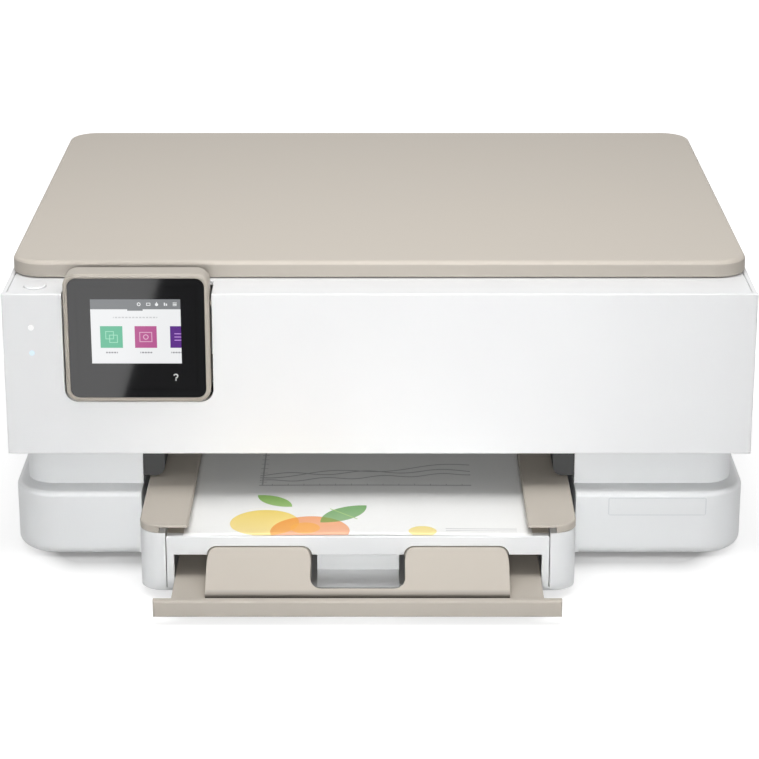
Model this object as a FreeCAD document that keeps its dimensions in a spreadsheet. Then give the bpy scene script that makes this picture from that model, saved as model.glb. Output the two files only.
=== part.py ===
import FreeCAD, Part
import math
import os
import Sketcher
from FreeCAD import Placement, Rotation, Vector

# A compact home all-in-one inkjet printer: a paper tray with an output deck and a pull-out extender,
# a print engine in a two-tier base, and a scanner unit with lid and touch panel that lifts for ink.
# Lengths are written from the middle of the width (x), from the face of the front panel (y, to the
# rear) and from the surface that the printer stands on (z).

SIZES = [
    ("body_width", 460.0, "front panel, over its ends"),
    ("body_depth", 383.0, "front panel to the rear of the base"),
    ("foot_height", 2.0, "rubber feet under the base"),
    ("foot_radius", 9.0, "rubber foot"),
    ("foot_inset", 34.0, "foot centre to the base's sides"),
    ("running_gap", 0.3, "between pieces that move past each other"),
    ("pin_fit", 0.05, "radial room of a pin or shaft in its hole"),
    ("wall", 2.5, "casing walls"),
    # Lower base with its tray bay.
    ("base_width", 458.0, "lower base"),
    ("base_top", 44.0, "height of the base's ledge"),
    ("base_corner", 28.0, "corner radius in plan"),
    ("base_edge", 3.0, "rounding of the ledge's edge"),
    ("base_under", 6.0, "rounding of the lower edge"),
    ("base_floor", 2.5, "floor of the base"),
    ("bay_width", 271.0, "tray bay between the base's two sides"),
    ("bay_middle", -13.0, "middle of the bay and of the paper path"),
    ("bay_depth", 352.0, "bay, front to rear"),
    # Recessed band between the base and the scanner unit.
    ("band_width", 445.0, "recessed band"),
    ("ledge", 6.5, "base's ledge beside the band"),
    ("band_setback", 17.0, "band behind the base's front"),
    ("band_rear", 8.0, "band ahead of the base's rear"),
    ("band_corner", 18.0, "corner radius in plan"),
    ("band_top", 68.0, "top edge of the band, inside the scanner unit"),
    # Scanner unit: front panel, housing, deck and glass.
    ("panel_bottom", 70.0, "lower edge of the front panel"),
    ("deck_top", 173.5, "top of the deck and of the front panel"),
    ("panel_thickness", 3.5, "front panel"),
    ("panel_edge", 0.8, "rounding of the front panel's edges"),
    ("unit_rear", 4.0, "scanner unit ahead of the base's rear"),
    ("unit_inset", 0.5, "housing inside the front panel's ends"),
    ("deck_thickness", 2.5, "deck plate"),
    ("scan_floor_top", 131.0, "scanner tub's floor"),
    ("rear_wall_bottom", 84.0, "lower edge of the housing's rear wall"),
    ("seam_inset", 3.0, "deck seam from the housing's sides"),
    ("seam_width", 0.8, "deck seam"),
    ("window_width", 306.0, "scanning window"),
    ("window_depth", 222.0, "scanning window"),
    ("window_front", 84.0, "front edge of the window"),
    ("glass_thickness", 3.0, "scanner glass"),
    ("glass_border", 8.0, "glass under the deck round the window"),
    # Scanner lid.
    ("lid_inset", 1.5, "lid inside the front panel's ends"),
    ("lid_front", 33.0, "lid's front edge behind the front panel"),
    ("lid_rear", 376.0, "lid's rear edge"),
    ("lid_gap", 1.0, "lid above the deck"),
    ("lid_thickness", 10.0, "lid"),
    ("lid_corner", 20.0, "corner radius in plan"),
    ("lid_edge", 3.2, "rounding of the lid's upper edge"),
    ("pad_inset", 26.0, "white backing pad inside the lid's edge"),
    ("pad_recess", 2.0, "backing pad let into the lid"),
    ("pad_thickness", 2.4, "backing pad"),
    ("lid_axis_y", 379.6, "lid hinge axis"),
    ("lid_axis_z", 177.2, "lid hinge axis"),
    ("knuckle_radius", 3.2, "lid hinge knuckle"),
    ("knuckle_spread", 300.0, "distance between the two lid hinges"),
    ("knuckle_length", 22.0, "lid's knuckle"),
    ("ear_length", 7.0, "ear on each side of a knuckle"),
    ("lid_pin_radius", 1.5, "lid hinge pin"),
    # Touch panel.
    ("touch_inset", 82.4, "middle of the touch panel from the front panel's left end"),
    ("touch_width", 88.6, "touch panel"),
    ("touch_bottom", 105.5, "lower edge of the touch panel"),
    ("touch_top", 187.2, "upper edge of the touch panel"),
    ("touch_proud", 4.0, "touch panel ahead of the front panel"),
    ("touch_depth", 15.0, "touch panel, front to rear"),
    ("touch_corner", 8.0, "corner radius"),
    ("touch_edge", 1.8, "rounding of the bezel's front edge"),
    ("touch_gap", 1.3, "gap round the touch panel"),
    ("bezel", 2.7, "bezel round the glass"),
    ("touch_glass", 1.6, "cover glass"),
    ("glass_corner", 5.6, "corner radius of the cover glass"),
    ("tilt_axis_y", 6.0, "tilt axis of the touch panel"),
    ("tilt_axis_z", 166.0, "tilt axis of the touch panel"),
    ("tilt_pin_radius", 2.0, "tilt pin"),
    ("tilt_room", 27.0, "depth of the panel's notch in the deck"),
    ("well_wall", 3.0, "side walls of the panel's well"),
    ("well_depth", 20.0, "panel's well, front to rear"),
    # Power button and status lights.
    ("button_inset", 19.0, "power button from the front panel's left end"),
    ("button_y", 16.0, "power button"),
    ("button_radius", 6.7, "power button"),
    ("button_proud", 1.2, "button above the deck"),
    ("button_stem", 7.0, "button below the deck"),
    ("light_inset", 17.6, "status lights from the front panel's left end"),
    ("light_radius", 1.7, "status light"),
    ("light_upper", 152.0, "height of the upper light"),
    ("light_lower", 135.8, "height of the lower light"),
    # Paper tray, its front frame, the output deck, the printed sheet and the extender.
    ("tray_width", 263.5, "tray"),
    ("tray_reach", 61.0, "tray's front ahead of the front panel"),
    ("tray_rear", 286.0, "tray's rear edge"),
    ("tray_floor", 2.0, "tray's floor"),
    ("tray_wall", 2.5, "tray's side walls"),
    ("tray_top", 42.0, "top of the tray's sides"),
    ("tray_rear_top", 24.0, "top of the tray's rear wall"),
    ("tray_corner", 14.0, "outer corners of the tray's front"),
    ("post_width", 16.0, "corner post at each end of the tray's front"),
    ("post_depth", 16.0, "corner post, front to rear"),
    ("frame_gap", 0.5, "seam between the front frame and the posts"),
    ("frame_depth", 6.0, "tray's front frame"),
    ("frame_top", 40.0, "top of the front frame"),
    ("bar_bottom", 28.0, "under side of the front frame's bar"),
    ("deck_opening", 205.0, "between the deck's two arms"),
    ("arm_top", 47.0, "top of the deck's arms"),
    ("arm_lap", 3.5, "arm over the sheet's edge"),
    ("arm_rear", 100.0, "rear end of the deck"),
    ("arm_edge", 1.0, "rounding of the arms' upper edge"),
    ("notch_width", 17.0, "recess under each arm's front"),
    ("notch_depth", 9.0, "recess under each arm's front"),
    ("notch_roof", 1.4, "arm over that recess"),
    ("deck_floor", 1.6, "deck under the sheet"),
    ("deck_floor_top", 39.6, "deck under the sheet"),
    ("sheet_width", 210.0, "printed sheet"),
    ("sheet_length", 148.0, "printed sheet"),
    ("sheet_thickness", 0.5, "printed sheet with a little curl"),
    ("extender_reach", 40.5, "extender's lip ahead of the tray's front"),
    ("lip_width", 241.6, "extender's lip"),
    ("lip_thickness", 4.5, "extender's lip"),
    ("lip_bottom", 5.0, "extender's lip"),
    ("lip_top", 15.6, "extender's lip"),
    ("lip_edge", 1.6, "rounding of the lip"),
    ("slide_width", 220.8, "extender's plate"),
    ("slide_thickness", 2.0, "extender's plate"),
    ("slide_top", 14.0, "extender's plate"),
    ("slide_rear", 20.0, "rear end of the extender's plate"),
    ("bump_inner", 28.3, "raised ramp, from the middle"),
    ("bump_outer", 90.5, "raised ramp, from the middle"),
    ("bump_top", 33.0, "raised ramp"),
    ("bump_crest", 8.0, "level crest of the ramp, front to rear"),
    ("bump_corner", 5.5, "upper corners of the ramp"),
    ("finger_lip_depth", 8.0, "front edge of the finger window behind the lip"),
    ("finger_round", 7.0, "front corners of the finger window"),
    ("groove_width", 4.0, "groove between the lip and the ramp"),
    ("groove_depth", 1.0, "groove between the lip and the ramp"),
    ("stop_setback", 16.0, "tray's stop rib behind the tray's front"),
    ("stop_width", 50.0, "tray's stop rib"),
    ("stop_top", 27.0, "tray's stop rib"),
    ("stop_ramp_top", 11.8, "sloping floor ahead of the stop rib"),
    ("runner_spread", 124.0, "runners under the extender"),
    ("runner_width", 4.0, "runner under the extender"),
    ("runner_rear", 60.0, "rear end of the runners"),
    # Paper guides in the tray.
    ("guide_top", 26.0, "paper guides"),
    ("guide_thickness", 2.6, "paper guides"),
    ("guide_front", 90.0, "width guides"),
    ("guide_rear", 190.0, "width guides"),
    ("guide_room", 0.5, "guide beside the widest sheet"),
    ("rack_module", 1.5, "tooth size of racks and guide pinion"),
    ("rack_thickness", 3.0, "racks and guide pinion"),
    ("rack_back", 4.0, "rack behind its teeth"),
    ("stud_radius", 2.5, "stud of the guide pinion"),
    ("stud_y", 140.0, "stud of the guide pinion"),
    ("length_guide_y", -14.0, "front face of the length guide"),
    ("length_guide_width", 48.0, "length guide"),
    ("length_guide_foot", 22.0, "foot of the length guide"),
    # Print engine.
    ("side_inset", 38.5, "engine's side plates inside the band's sides"),
    ("side_thickness", 6.0, "engine's side plates"),
    ("side_front", 125.0, "front of the side plates"),
    ("side_rear", 300.0, "rear of the side plates"),
    ("side_top", 124.0, "top of the side plates"),
    ("beam_thickness", 6.0, "rear beam of the engine frame"),
    ("beam_bottom", 80.0, "rear beam of the engine frame"),
    ("roller_z", 58.0, "feed and output roller axes"),
    ("feed_y", 222.0, "feed roller axis"),
    ("feed_radius", 8.0, "feed roller"),
    ("output_radius", 7.0, "output roller"),
    ("shaft_radius", 3.0, "roller shafts"),
    ("gear_module", 1.5, "tooth size of the feed gears"),
    ("gear_width", 7.0, "feed gears"),
    ("gear_gap", 2.0, "feed gears outside the side plate"),
    ("platen_top", 66.0, "platen under the paper"),
    ("platen_thickness", 4.0, "platen"),
    ("platen_rib", 2.2, "ribs of the platen"),
    ("platen_front", 152.0, "front edge of the platen"),
    ("platen_rear", 211.0, "rear edge of the platen"),
    ("rib_pitch", 14.0, "ribs of the platen"),
    ("pinch_radius", 3.4, "pinch rollers"),
    ("star_radius", 4.0, "star wheels"),
    ("axle_radius", 1.4, "pinch roller and star wheel axles"),
    ("rod_y", 238.0, "carriage rod"),
    ("rod_z", 100.0, "carriage rod"),
    ("rod_radius", 4.0, "carriage rod"),
    ("rail_y", 150.0, "carriage's front rail"),
    ("rail_z", 96.0, "carriage's front rail"),
    ("rail_thickness", 2.0, "carriage's front rail"),
    ("rail_height", 10.0, "carriage's front rail"),
    ("belt_y", 258.0, "drive belt's middle"),
    ("belt_z", 110.0, "drive belt's pulleys"),
    ("belt_width", 5.0, "drive belt"),
    ("belt_thickness", 1.2, "drive belt"),
    ("pulley_radius", 7.0, "drive belt's pulleys"),
    ("pulley_inset", 19.0, "drive belt's pulleys from the side plates"),
    ("motor_radius", 14.0, "carriage motor and feed motor"),
    ("feed_motor_length", 28.0, "feed motor"),
    # Carriage with its cartridges, parked over the service station.
    ("park_inset", 35.0, "carriage's middle from the side plate where it parks"),
    ("carriage_width", 62.0, "carriage"),
    ("carriage_front", 158.0, "carriage"),
    ("carriage_rear", 250.0, "carriage"),
    ("carriage_bottom", 82.0, "carriage"),
    ("carriage_top", 116.0, "carriage"),
    ("snout_bottom", 69.0, "print heads above the platen"),
    ("snout_depth", 38.0, "print heads, front to rear"),
    ("cartridge_width", 25.0, "ink cartridge"),
    ("cartridge_depth", 58.0, "ink cartridge"),
    ("cartridge_top", 121.0, "ink cartridge"),
    ("cartridge_fit", 0.4, "ink cartridge in the carriage"),
    # Paper pick-up.
    ("pick_axis_y", 196.0, "pick arm's pivot"),
    ("pick_axis_z", 48.0, "pick arm's pivot"),
    ("pick_roller_y", 238.0, "pick roller"),
    ("pick_roller_z", 38.0, "pick roller"),
    ("pick_radius", 9.0, "pick roller"),
    ("pick_width", 30.0, "pick roller"),
    # Electrical pieces.
    ("board_z", 16.0, "main board above the ground"),
    ("board_thickness", 1.6, "main board"),
    ("scan_park", 57.0, "scan bar's middle from the scan rod's left boss where it parks"),
    ("scan_bar_width", 20.0, "scan bar"),
    ("scan_bar_height", 13.0, "scan bar"),
    ("scan_rod_y", 196.0, "scan bar's rod"),
    ("scan_rod_z", 146.0, "scan bar's rod"),
    ("scan_rod_radius", 3.0, "scan bar's rod"),
    ("access_axis_y", 366.0, "scanner unit's hinge"),
    ("access_axis_z", 76.0, "scanner unit's hinge"),
    ("access_spread", 330.0, "between the scanner unit's hinges"),
    ("access_knuckle", 12.0, "scanner unit's hinge"),
    ("access_ear", 6.0, "ears of the scanner unit's hinge"),
    ("access_radius", 5.0, "scanner unit's hinge"),
    ("access_pin_radius", 2.5, "scanner unit's hinge pin"),
    # Sockets, vents and small details of the casing.
    ("cut_past", 1.0, "cuts run this far past the face they open"),
    ("inlet_offset", 30.0, "power inlet from the power supply's left side"),
    ("inlet_width", 24.0, "power inlet"),
    ("inlet_bottom", 14.0, "power inlet"),
    ("inlet_top", 33.0, "power inlet"),
    ("inlet_mouth_width", 15.0, "mouth of the power inlet"),
    ("inlet_mouth_height", 8.0, "mouth of the power inlet"),
    ("inlet_mouth_corner", 3.9, "mouth of the power inlet"),
    ("inlet_pin_radius", 1.2, "contact pin of the power inlet"),
    ("inlet_pin_spread", 7.0, "contact pins of the power inlet"),
    ("usb_inset", 14.0, "data socket from the main board's right edge"),
    ("usb_width", 13.0, "data socket"),
    ("usb_height", 11.6, "data socket"),
    ("usb_mouth_width", 8.6, "mouth of the data socket"),
    ("usb_mouth_height", 7.8, "mouth of the data socket"),
    ("usb_tongue", 3.2, "tongue in the data socket"),
    ("usb_length", 26.0, "data socket, front to rear"),
    ("socket_fit", 0.2, "socket in its cut-out"),
    ("socket_sunk", 0.6, "socket's face inside the rear wall"),
    ("socket_depth", 9.0, "mouth of a socket"),
    ("vent_x", -40.0, "first vent slot"),
    ("vent_width", 3.0, "vent slot"),
    ("vent_bottom", 18.0, "vent slot"),
    ("vent_top", 34.0, "vent slot"),
    ("vent_pitch", 8.0, "vent slots"),
    ("block_lap", 12.0, "bay block behind the band"),
    ("block_show", 13.5, "bay block inside the bay"),
    ("block_room", 1.2, "bay block above the deck's arms"),
    ("block_corner", 6.0, "lower inner corner of the bay block"),
    ("block_rear", 120.0, "rear end of the bay blocks"),
    ("window_corner", 4.0, "corners of the scanning window"),
    ("seam_depth", 1.0, "deck seam"),
    ("boss_inset", 32.5, "bosses of the scan rod from the housing's sides"),
    ("boss_width", 6.0, "bosses of the scan rod"),
    ("scan_block_width", 36.0, "block of the scan bar"),
    ("scan_block_depth", 18.0, "block of the scan bar"),
    ("lens_width", 5.0, "lens slot of the scan bar"),
    ("lens_depth", 1.5, "lens slot of the scan bar"),
    ("lens_end", 3.0, "lens slot to the end of the scan bar"),
    ("button_edge", 0.6, "bevel of the power button"),
    ("glass_fit", 0.15, "cover glass in its bezel"),
    ("glass_sunk", 0.3, "cover glass behind the bezel's face"),
    ("merge", 0.5, "features run this far into the piece that they grow from"),
    ("frame_sunk", 0.4, "front frame behind the posts' faces"),
    ("frame_edge", 1.2, "rounding of the front frame's upper edge"),
    ("slide_room", 0.5, "front frame beside the extender"),
    ("bump_room", 0.6, "front frame round the ramps"),
    ("deck_fit", 0.4, "deck inside the tray's walls"),
    ("sheet_setback", 1.5, "sheet behind the front frame"),
    ("sheet_room", 0.1, "sheet above the deck"),
    ("bump_setback", 0.5, "ramp's crest ahead of the front frame"),
    ("stub_addendum", 0.65, "tooth tip above the pitch line, in modules"),
    ("stub_dedendum", 0.95, "tooth root below the pitch line, in modules"),
    ("tooth_play", 0.35, "play between meshing teeth"),
    ("stud_top", 1.0, "stud above the guide pinion"),
    ("guide_lift", 1.0, "width guides above the racks"),
    ("guide_riser", 9.0, "foot of a width guide on its rack"),
    ("guide_foot_height", 2.0, "foot of the length guide"),
    ("length_guide_top", 28.0, "length guide"),
    # Small pieces of the print engine.
    ("tyre_width", 16.0, "tyres of the output roller"),
    ("tyre_pitch", 46.0, "tyres, pinch rollers and star wheels"),
    ("feed_length", 232.0, "rubber of the feed roller"),
    ("pinch_width", 20.0, "pinch rollers"),
    ("star_width", 2.0, "star wheels"),
    ("axle_length", 220.0, "pinch roller and star wheel axles"),
    ("finger_width", 5.0, "fingers that hold the small axles"),
    ("finger_depth", 5.0, "fingers that hold the small axles"),
    ("finger_drop", 2.6, "fingers below the small axles"),
    ("plate_room", 1.2, "plates above the pinch rollers and star wheels"),
    ("plate_thickness", 2.0, "plates above the pinch rollers and star wheels"),
    ("plate_width", 240.0, "plate above the pinch rollers"),
    ("plate_front", 4.0, "pinch plate ahead of its rollers' axis"),
    ("plate_flange", 12.0, "flange of the pinch plate on the beam"),
    ("bridge_depth", 10.0, "bridge above the star wheels"),
    ("bridge_height", 4.0, "bridge above the star wheels"),
    ("rib_width", 2.0, "ribs of the platen"),
    ("rail_flange", 8.0, "foot of the front rail"),
    ("pulley_shaft", 2.0, "pulley shafts"),
    ("pulley_flange", 1.0, "flanges of the pulleys"),
    ("motor_front", 266.0, "front face of the carriage motor"),
    ("shaft_grip", 8.0, "motor shafts inside the motors"),
    ("belt_round", 0.05, "flat left between the ends of the belt's bend"),
    ("strip_gap", 1.4, "encoder strip behind the carriage"),
    ("strip_thickness", 0.5, "encoder strip"),
    ("strip_bottom", 113.0, "encoder strip"),
    ("strip_height", 7.0, "encoder strip"),
    ("station_width", 56.0, "service station"),
    ("station_height", 2.4, "service station on the platen"),
    ("cap_height", 1.6, "caps of the service station"),
    ("cap_width", 15.0, "caps of the service station"),
    ("cap_depth", 30.0, "caps of the service station"),
    ("cap_corner", 3.0, "caps of the service station"),
    ("pocket_floor", 3.0, "floor of the carriage's pockets"),
    ("pocket_setback", 4.0, "pockets behind the carriage's front"),
    ("pocket_offset", 14.8, "pockets from the carriage's middle"),
    ("snout_width", 15.0, "print heads"),
    ("snout_setback", 9.0, "print heads behind the cartridge's front"),
    ("cartridge_edge", 1.5, "rounding of the cartridges"),
    ("hook_width", 34.0, "carriage's hook over the front rail"),
    ("hook_lap", 3.0, "carriage's hook ahead of the front rail"),
    ("hook_thickness", 4.0, "carriage's hook"),
    ("clamp_width", 12.0, "carriage's clamp on the belt"),
    ("clamp_height", 5.0, "carriage's clamp on the belt"),
    ("cheek_width", 4.0, "sides of the pick arm"),
    ("cheek_room", 1.0, "pick roller between the arm's sides"),
    ("arm_half", 4.0, "half height of the pick arm"),
    ("pick_axle", 2.0, "pick roller's axle"),
    ("board_gap", 3.0, "main board from the bay's wall and from the side plate"),
    ("board_front", 140.0, "main board"),
    ("board_rear", 366.0, "main board"),
    ("standoff_radius", 3.5, "main board's posts"),
    ("standoff_inset", 8.0, "main board's posts"),
    ("chip_width", 20.0, "processor on the main board"),
    ("chip_height", 2.0, "processor on the main board"),
    ("chip_y", 230.0, "processor on the main board"),
    ("coil_radius", 6.0, "capacitor on the main board"),
    ("coil_height", 14.0, "capacitor on the main board"),
    ("coil_y", 300.0, "capacitor on the main board"),
    ("supply_inset", 6.5, "power supply inside the band's sides"),
    ("supply_gap", 6.0, "power supply from the bay's wall"),
    ("supply_front", 306.0, "power supply"),
    ("supply_rear", 366.0, "power supply"),
    ("supply_top", 56.0, "power supply"),
    ("supply_corner", 4.0, "power supply"),
]


class Size:
    """A length that carries the sheet formula it is worked out from beside its number."""

    def __init__(self, number, formula):
        self.number = number
        self.formula = formula

    def __add__(self, other):
        other = as_size(other)
        return Size(self.number + other.number, f"({self.formula} + {other.formula})")

    def __sub__(self, other):
        other = as_size(other)
        return Size(self.number - other.number, f"({self.formula} - {other.formula})")

    def __mul__(self, other):
        other = as_size(other)
        return Size(self.number * other.number, f"({self.formula} * {other.formula})")

    def __truediv__(self, other):
        other = as_size(other)
        return Size(self.number / other.number, f"({self.formula} / {other.formula})")

    def __neg__(self):
        return Size(-self.number, f"(0 - {self.formula})")

    def __radd__(self, other):
        return as_size(other) + self

    def __rsub__(self, other):
        return as_size(other) - self

    def __rmul__(self, other):
        return as_size(other) * self


def as_size(value):
    if isinstance(value, Size):
        return value
    return Size(float(value), f"({float(value)})")


def least(first, second):
    """The smaller of two lengths."""
    return Size(min(first.number, second.number), f"min({first.formula}; {second.formula})")


class Sheet:
    """The driving dimensions: one row of the document's spreadsheet each, read by name."""

    def __init__(self, rows):
        self.page = doc.addObject("Spreadsheet::Sheet", "Sizes")
        for number, (alias, length, note) in enumerate(rows, 1):
            self.page.set(f"A{number}", note)
            self.page.set(f"B{number}", str(length))
            self.page.setAlias(f"B{number}", alias)
            setattr(self, alias, Size(length, f"Sizes.{alias}"))


class Piece:
    """One solid piece: a body whose pads and pockets are bound to the sheet, in assembly places.

    A span is a pair of low and high lengths. Each feature is drawn on the plane named by its two
    axes and runs along the third axis over its last span.
    """

    AXES = {"XY": "xyz", "XZ": "xzy", "YZ": "yzx"}

    def __init__(self, label):
        self.body = doc.addObject("PartDesign::Body", label)
        self.body.Label = label
        self.body.AllowCompound = True
        self.body.setExpression("Placement.Base.y", front_shift.formula)
        pieces.append(self.body)

    def sketch(self, plane, u, v, level):
        drawing = self.body.newObject("Sketcher::SketchObject", f"{self.body.Name}_outline")
        features = self.body.Origin.OriginFeatures
        support = [feature for feature in features if feature.Role == f"{plane}_Plane"][0]
        drawing.AttachmentSupport = (support, [""])
        drawing.MapMode = "FlatFace"
        if plane == "XZ":
            level = -level
        for axis, offset in zip("xyz", (u, v, as_size(level))):
            drawing.setExpression(f"AttachmentOffset.Base.{axis}", as_size(offset).formula)
        return drawing

    def extrude(self, kind, drawing, plane, span):
        feature = self.body.newObject(f"PartDesign::{kind}", f"{self.body.Name}_{kind}")
        feature.Profile = drawing
        feature.setExpression("Length", (span[1] - span[0]).formula)
        towards_axis = kind == "Pad"
        if plane == "XZ":
            towards_axis = not towards_axis
        feature.Reversed = not towards_axis
        drawing.Visibility = False
        return feature

    def rectangle(self, kind, plane, u, v, span, corner=None):
        u = tuple(map(as_size, u))
        v = tuple(map(as_size, v))
        span = tuple(map(as_size, span))
        drawing = self.sketch(plane, u[0], v[0], span[0])
        width = u[1] - u[0]
        height = v[1] - v[0]
        if corner is None:
            draw_rectangle(drawing, width, height)
        else:
            draw_rounded_rectangle(drawing, width, height, as_size(corner))
        return self.extrude(kind, drawing, plane, span)

    def circle(self, kind, plane, centre, radius, span):
        span = tuple(map(as_size, span))
        radius = as_size(radius)
        drawing = self.sketch(plane, as_size(centre[0]), as_size(centre[1]), span[0])
        drawing.addGeometry(Part.Circle(Vector(), Vector(0, 0, 1), radius.number))
        drawing.addConstraint(Sketcher.Constraint("Coincident", 0, 3, -1, 1))
        bound_constraint(drawing, ("Radius", 0), radius)
        return self.extrude(kind, drawing, plane, span)

    def polygon(self, kind, plane, points, span):
        points = [(as_size(u), as_size(v)) for u, v in points]
        span = tuple(map(as_size, span))
        drawing = self.sketch(plane, as_size(0), as_size(0), span[0])
        count = len(points)
        for index, (u, v) in enumerate(points):
            next_u, next_v = points[(index + 1) % count]
            start = Vector(u.number, v.number, 0)
            drawing.addGeometry(Part.LineSegment(start, Vector(next_u.number, next_v.number, 0)))
        for index, (u, v) in enumerate(points):
            drawing.addConstraint(Sketcher.Constraint("Coincident", index, 2, (index + 1) % count, 1))
            bound_constraint(drawing, ("DistanceX", -1, 1, index, 1), u)
            bound_constraint(drawing, ("DistanceY", -1, 1, index, 1), v)
        return self.extrude(kind, drawing, plane, span)

    def add(self, plane, u, v, span, corner=None):
        return self.rectangle("Pad", plane, u, v, span, corner)

    def cut(self, plane, u, v, span, corner=None):
        return self.rectangle("Pocket", plane, u, v, span, corner)

    def add_round(self, plane, centre, radius, span):
        return self.circle("Pad", plane, centre, radius, span)

    def cut_round(self, plane, centre, radius, span):
        return self.circle("Pocket", plane, centre, radius, span)

    def add_shape(self, plane, points, span):
        return self.polygon("Pad", plane, points, span)

    def cut_shape(self, plane, points, span):
        return self.polygon("Pocket", plane, points, span)

    def repeat(self, feature, axis, pitch, count):
        pattern = self.body.newObject("PartDesign::LinearPattern", f"{self.body.Name}_row")
        features = self.body.Origin.OriginFeatures
        direction = [item for item in features if item.Role == f"{axis}_Axis"][0]
        pattern.Originals = [feature]
        pattern.Direction = (direction, [""])
        pattern.setExpression("Length", (as_size(pitch) * (count - 1)).formula)
        pattern.Occurrences = count
        self.body.Tip = pattern
        return pattern

    def soften(self, radius, wanted):
        """Rounds the edges of the piece so far that the wanted function picks."""
        doc.recompute()
        base = self.body.Tip
        names = [f"Edge{number}" for number, edge in enumerate(base.Shape.Edges, 1) if wanted(edge)]
        feature = self.body.newObject("PartDesign::Fillet", f"{self.body.Name}_rounding")
        feature.Base = (base, names)
        feature.setExpression("Radius", as_size(radius).formula)
        return feature

    def bevel(self, width, wanted):
        """Bevels the edges of the piece so far that the wanted function picks."""
        doc.recompute()
        base = self.body.Tip
        names = [f"Edge{number}" for number, edge in enumerate(base.Shape.Edges, 1) if wanted(edge)]
        feature = self.body.newObject("PartDesign::Chamfer", f"{self.body.Name}_bevel")
        feature.Base = (base, names)
        feature.setExpression("Size", as_size(width).formula)
        return feature


def bound_constraint(drawing, terms, size):
    index = drawing.addConstraint(Sketcher.Constraint(*terms, size.number))
    drawing.setExpression(f"Constraints[{index}]", size.formula)


def draw_rectangle(drawing, width, height):
    corners = [(0, 0), (width.number, 0), (width.number, height.number), (0, height.number)]
    for index, corner in enumerate(corners):
        following = corners[(index + 1) % 4]
        drawing.addGeometry(Part.LineSegment(Vector(*corner, 0), Vector(*following, 0)))
    for index in range(4):
        drawing.addConstraint(Sketcher.Constraint("Coincident", index, 2, (index + 1) % 4, 1))
        direction = "Horizontal" if index % 2 == 0 else "Vertical"
        drawing.addConstraint(Sketcher.Constraint(direction, index))
    drawing.addConstraint(Sketcher.Constraint("Coincident", 0, 1, -1, 1))
    bound_constraint(drawing, ("DistanceX", 0, 1, 0, 2), width)
    bound_constraint(drawing, ("DistanceY", 1, 1, 1, 2), height)


def draw_rounded_rectangle(drawing, width, height, corner):
    wide, tall, round_by = width.number, height.number, corner.number
    sides = [
        ((round_by, 0), (wide - round_by, 0)),
        ((wide, round_by), (wide, tall - round_by)),
        ((wide - round_by, tall), (round_by, tall)),
        ((0, tall - round_by), (0, round_by)),
    ]
    centres = [
        (wide - round_by, round_by),
        (wide - round_by, tall - round_by),
        (round_by, tall - round_by),
        (round_by, round_by),
    ]
    for index in range(4):
        start, end = sides[index]
        drawing.addGeometry(Part.LineSegment(Vector(*start, 0), Vector(*end, 0)))
        circle = Part.Circle(Vector(*centres[index], 0), Vector(0, 0, 1), round_by)
        turn = (index - 1) * math.pi / 2
        drawing.addGeometry(Part.ArcOfCircle(circle, turn, turn + math.pi / 2))
    for index in range(4):
        side = 2 * index
        arc = side + 1
        drawing.addConstraint(Sketcher.Constraint("Tangent", side, 2, arc, 1))
        drawing.addConstraint(Sketcher.Constraint("Tangent", arc, 2, (arc + 1) % 8, 1))
        direction = "Horizontal" if index % 2 == 0 else "Vertical"
        drawing.addConstraint(Sketcher.Constraint(direction, side))
        if index:
            drawing.addConstraint(Sketcher.Constraint("Equal", 1, arc))
    drawing.addConstraint(Sketcher.Constraint("PointOnObject", 0, 1, -1))
    drawing.addConstraint(Sketcher.Constraint("PointOnObject", 6, 1, -2))
    bound_constraint(drawing, ("Radius", 1), corner)
    bound_constraint(drawing, ("DistanceX", 6, 1, 2, 1), width)
    bound_constraint(drawing, ("DistanceY", 0, 1, 4, 1), height)


def around(middle, width):
    """The span of a width laid out evenly about a middle."""
    return (as_size(middle) - as_size(width) / 2, as_size(middle) + as_size(width) / 2)


def flat_at(axis, level):
    """Picks the edges that lie wholly at one height, depth or side of a piece."""
    low, high = f"{axis}Min", f"{axis}Max"

    def wanted(edge):
        box = edge.BoundBox
        return abs(getattr(box, low) - level.number) < 0.01 and abs(getattr(box, high) - level.number) < 0.01

    return wanted


doc = FreeCAD.newDocument("inkjet_printer")
pieces = []
sizes = Sheet(SIZES)
front_shift = (sizes.tray_reach + sizes.extender_reach - sizes.body_depth) / 2
gap = sizes.running_gap
floor_top = sizes.foot_height + sizes.base_floor
base_side = around(0, sizes.base_width)
bay = around(sizes.bay_middle, sizes.bay_width)
middle = sizes.bay_middle
past = sizes.cut_past
board_top = sizes.board_z + sizes.board_thickness
panel_left = -sizes.body_width / 2
inner_half = least(sizes.band_width / 2, sizes.base_width / 2 - sizes.ledge)
frame_inner = inner_half - sizes.side_inset
frame_outer = frame_inner + sizes.side_thickness
carriage_x = frame_inner - sizes.park_inset
pulley_x = frame_inner - sizes.pulley_inset
supply_left = sizes.supply_inset - inner_half
board_left = bay[1] + sizes.wall + sizes.board_gap
board_right = frame_inner - sizes.board_gap
inlet_middle_x = supply_left + sizes.inlet_offset
inlet_x = around(inlet_middle_x, sizes.inlet_width)
inlet_z = (sizes.inlet_bottom, sizes.inlet_top)
usb_middle_x = board_right - sizes.usb_inset
usb_x = around(usb_middle_x, sizes.usb_width + sizes.socket_fit * 2)
usb_z = (board_top - sizes.socket_fit, board_top + sizes.usb_height + sizes.socket_fit)


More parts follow.
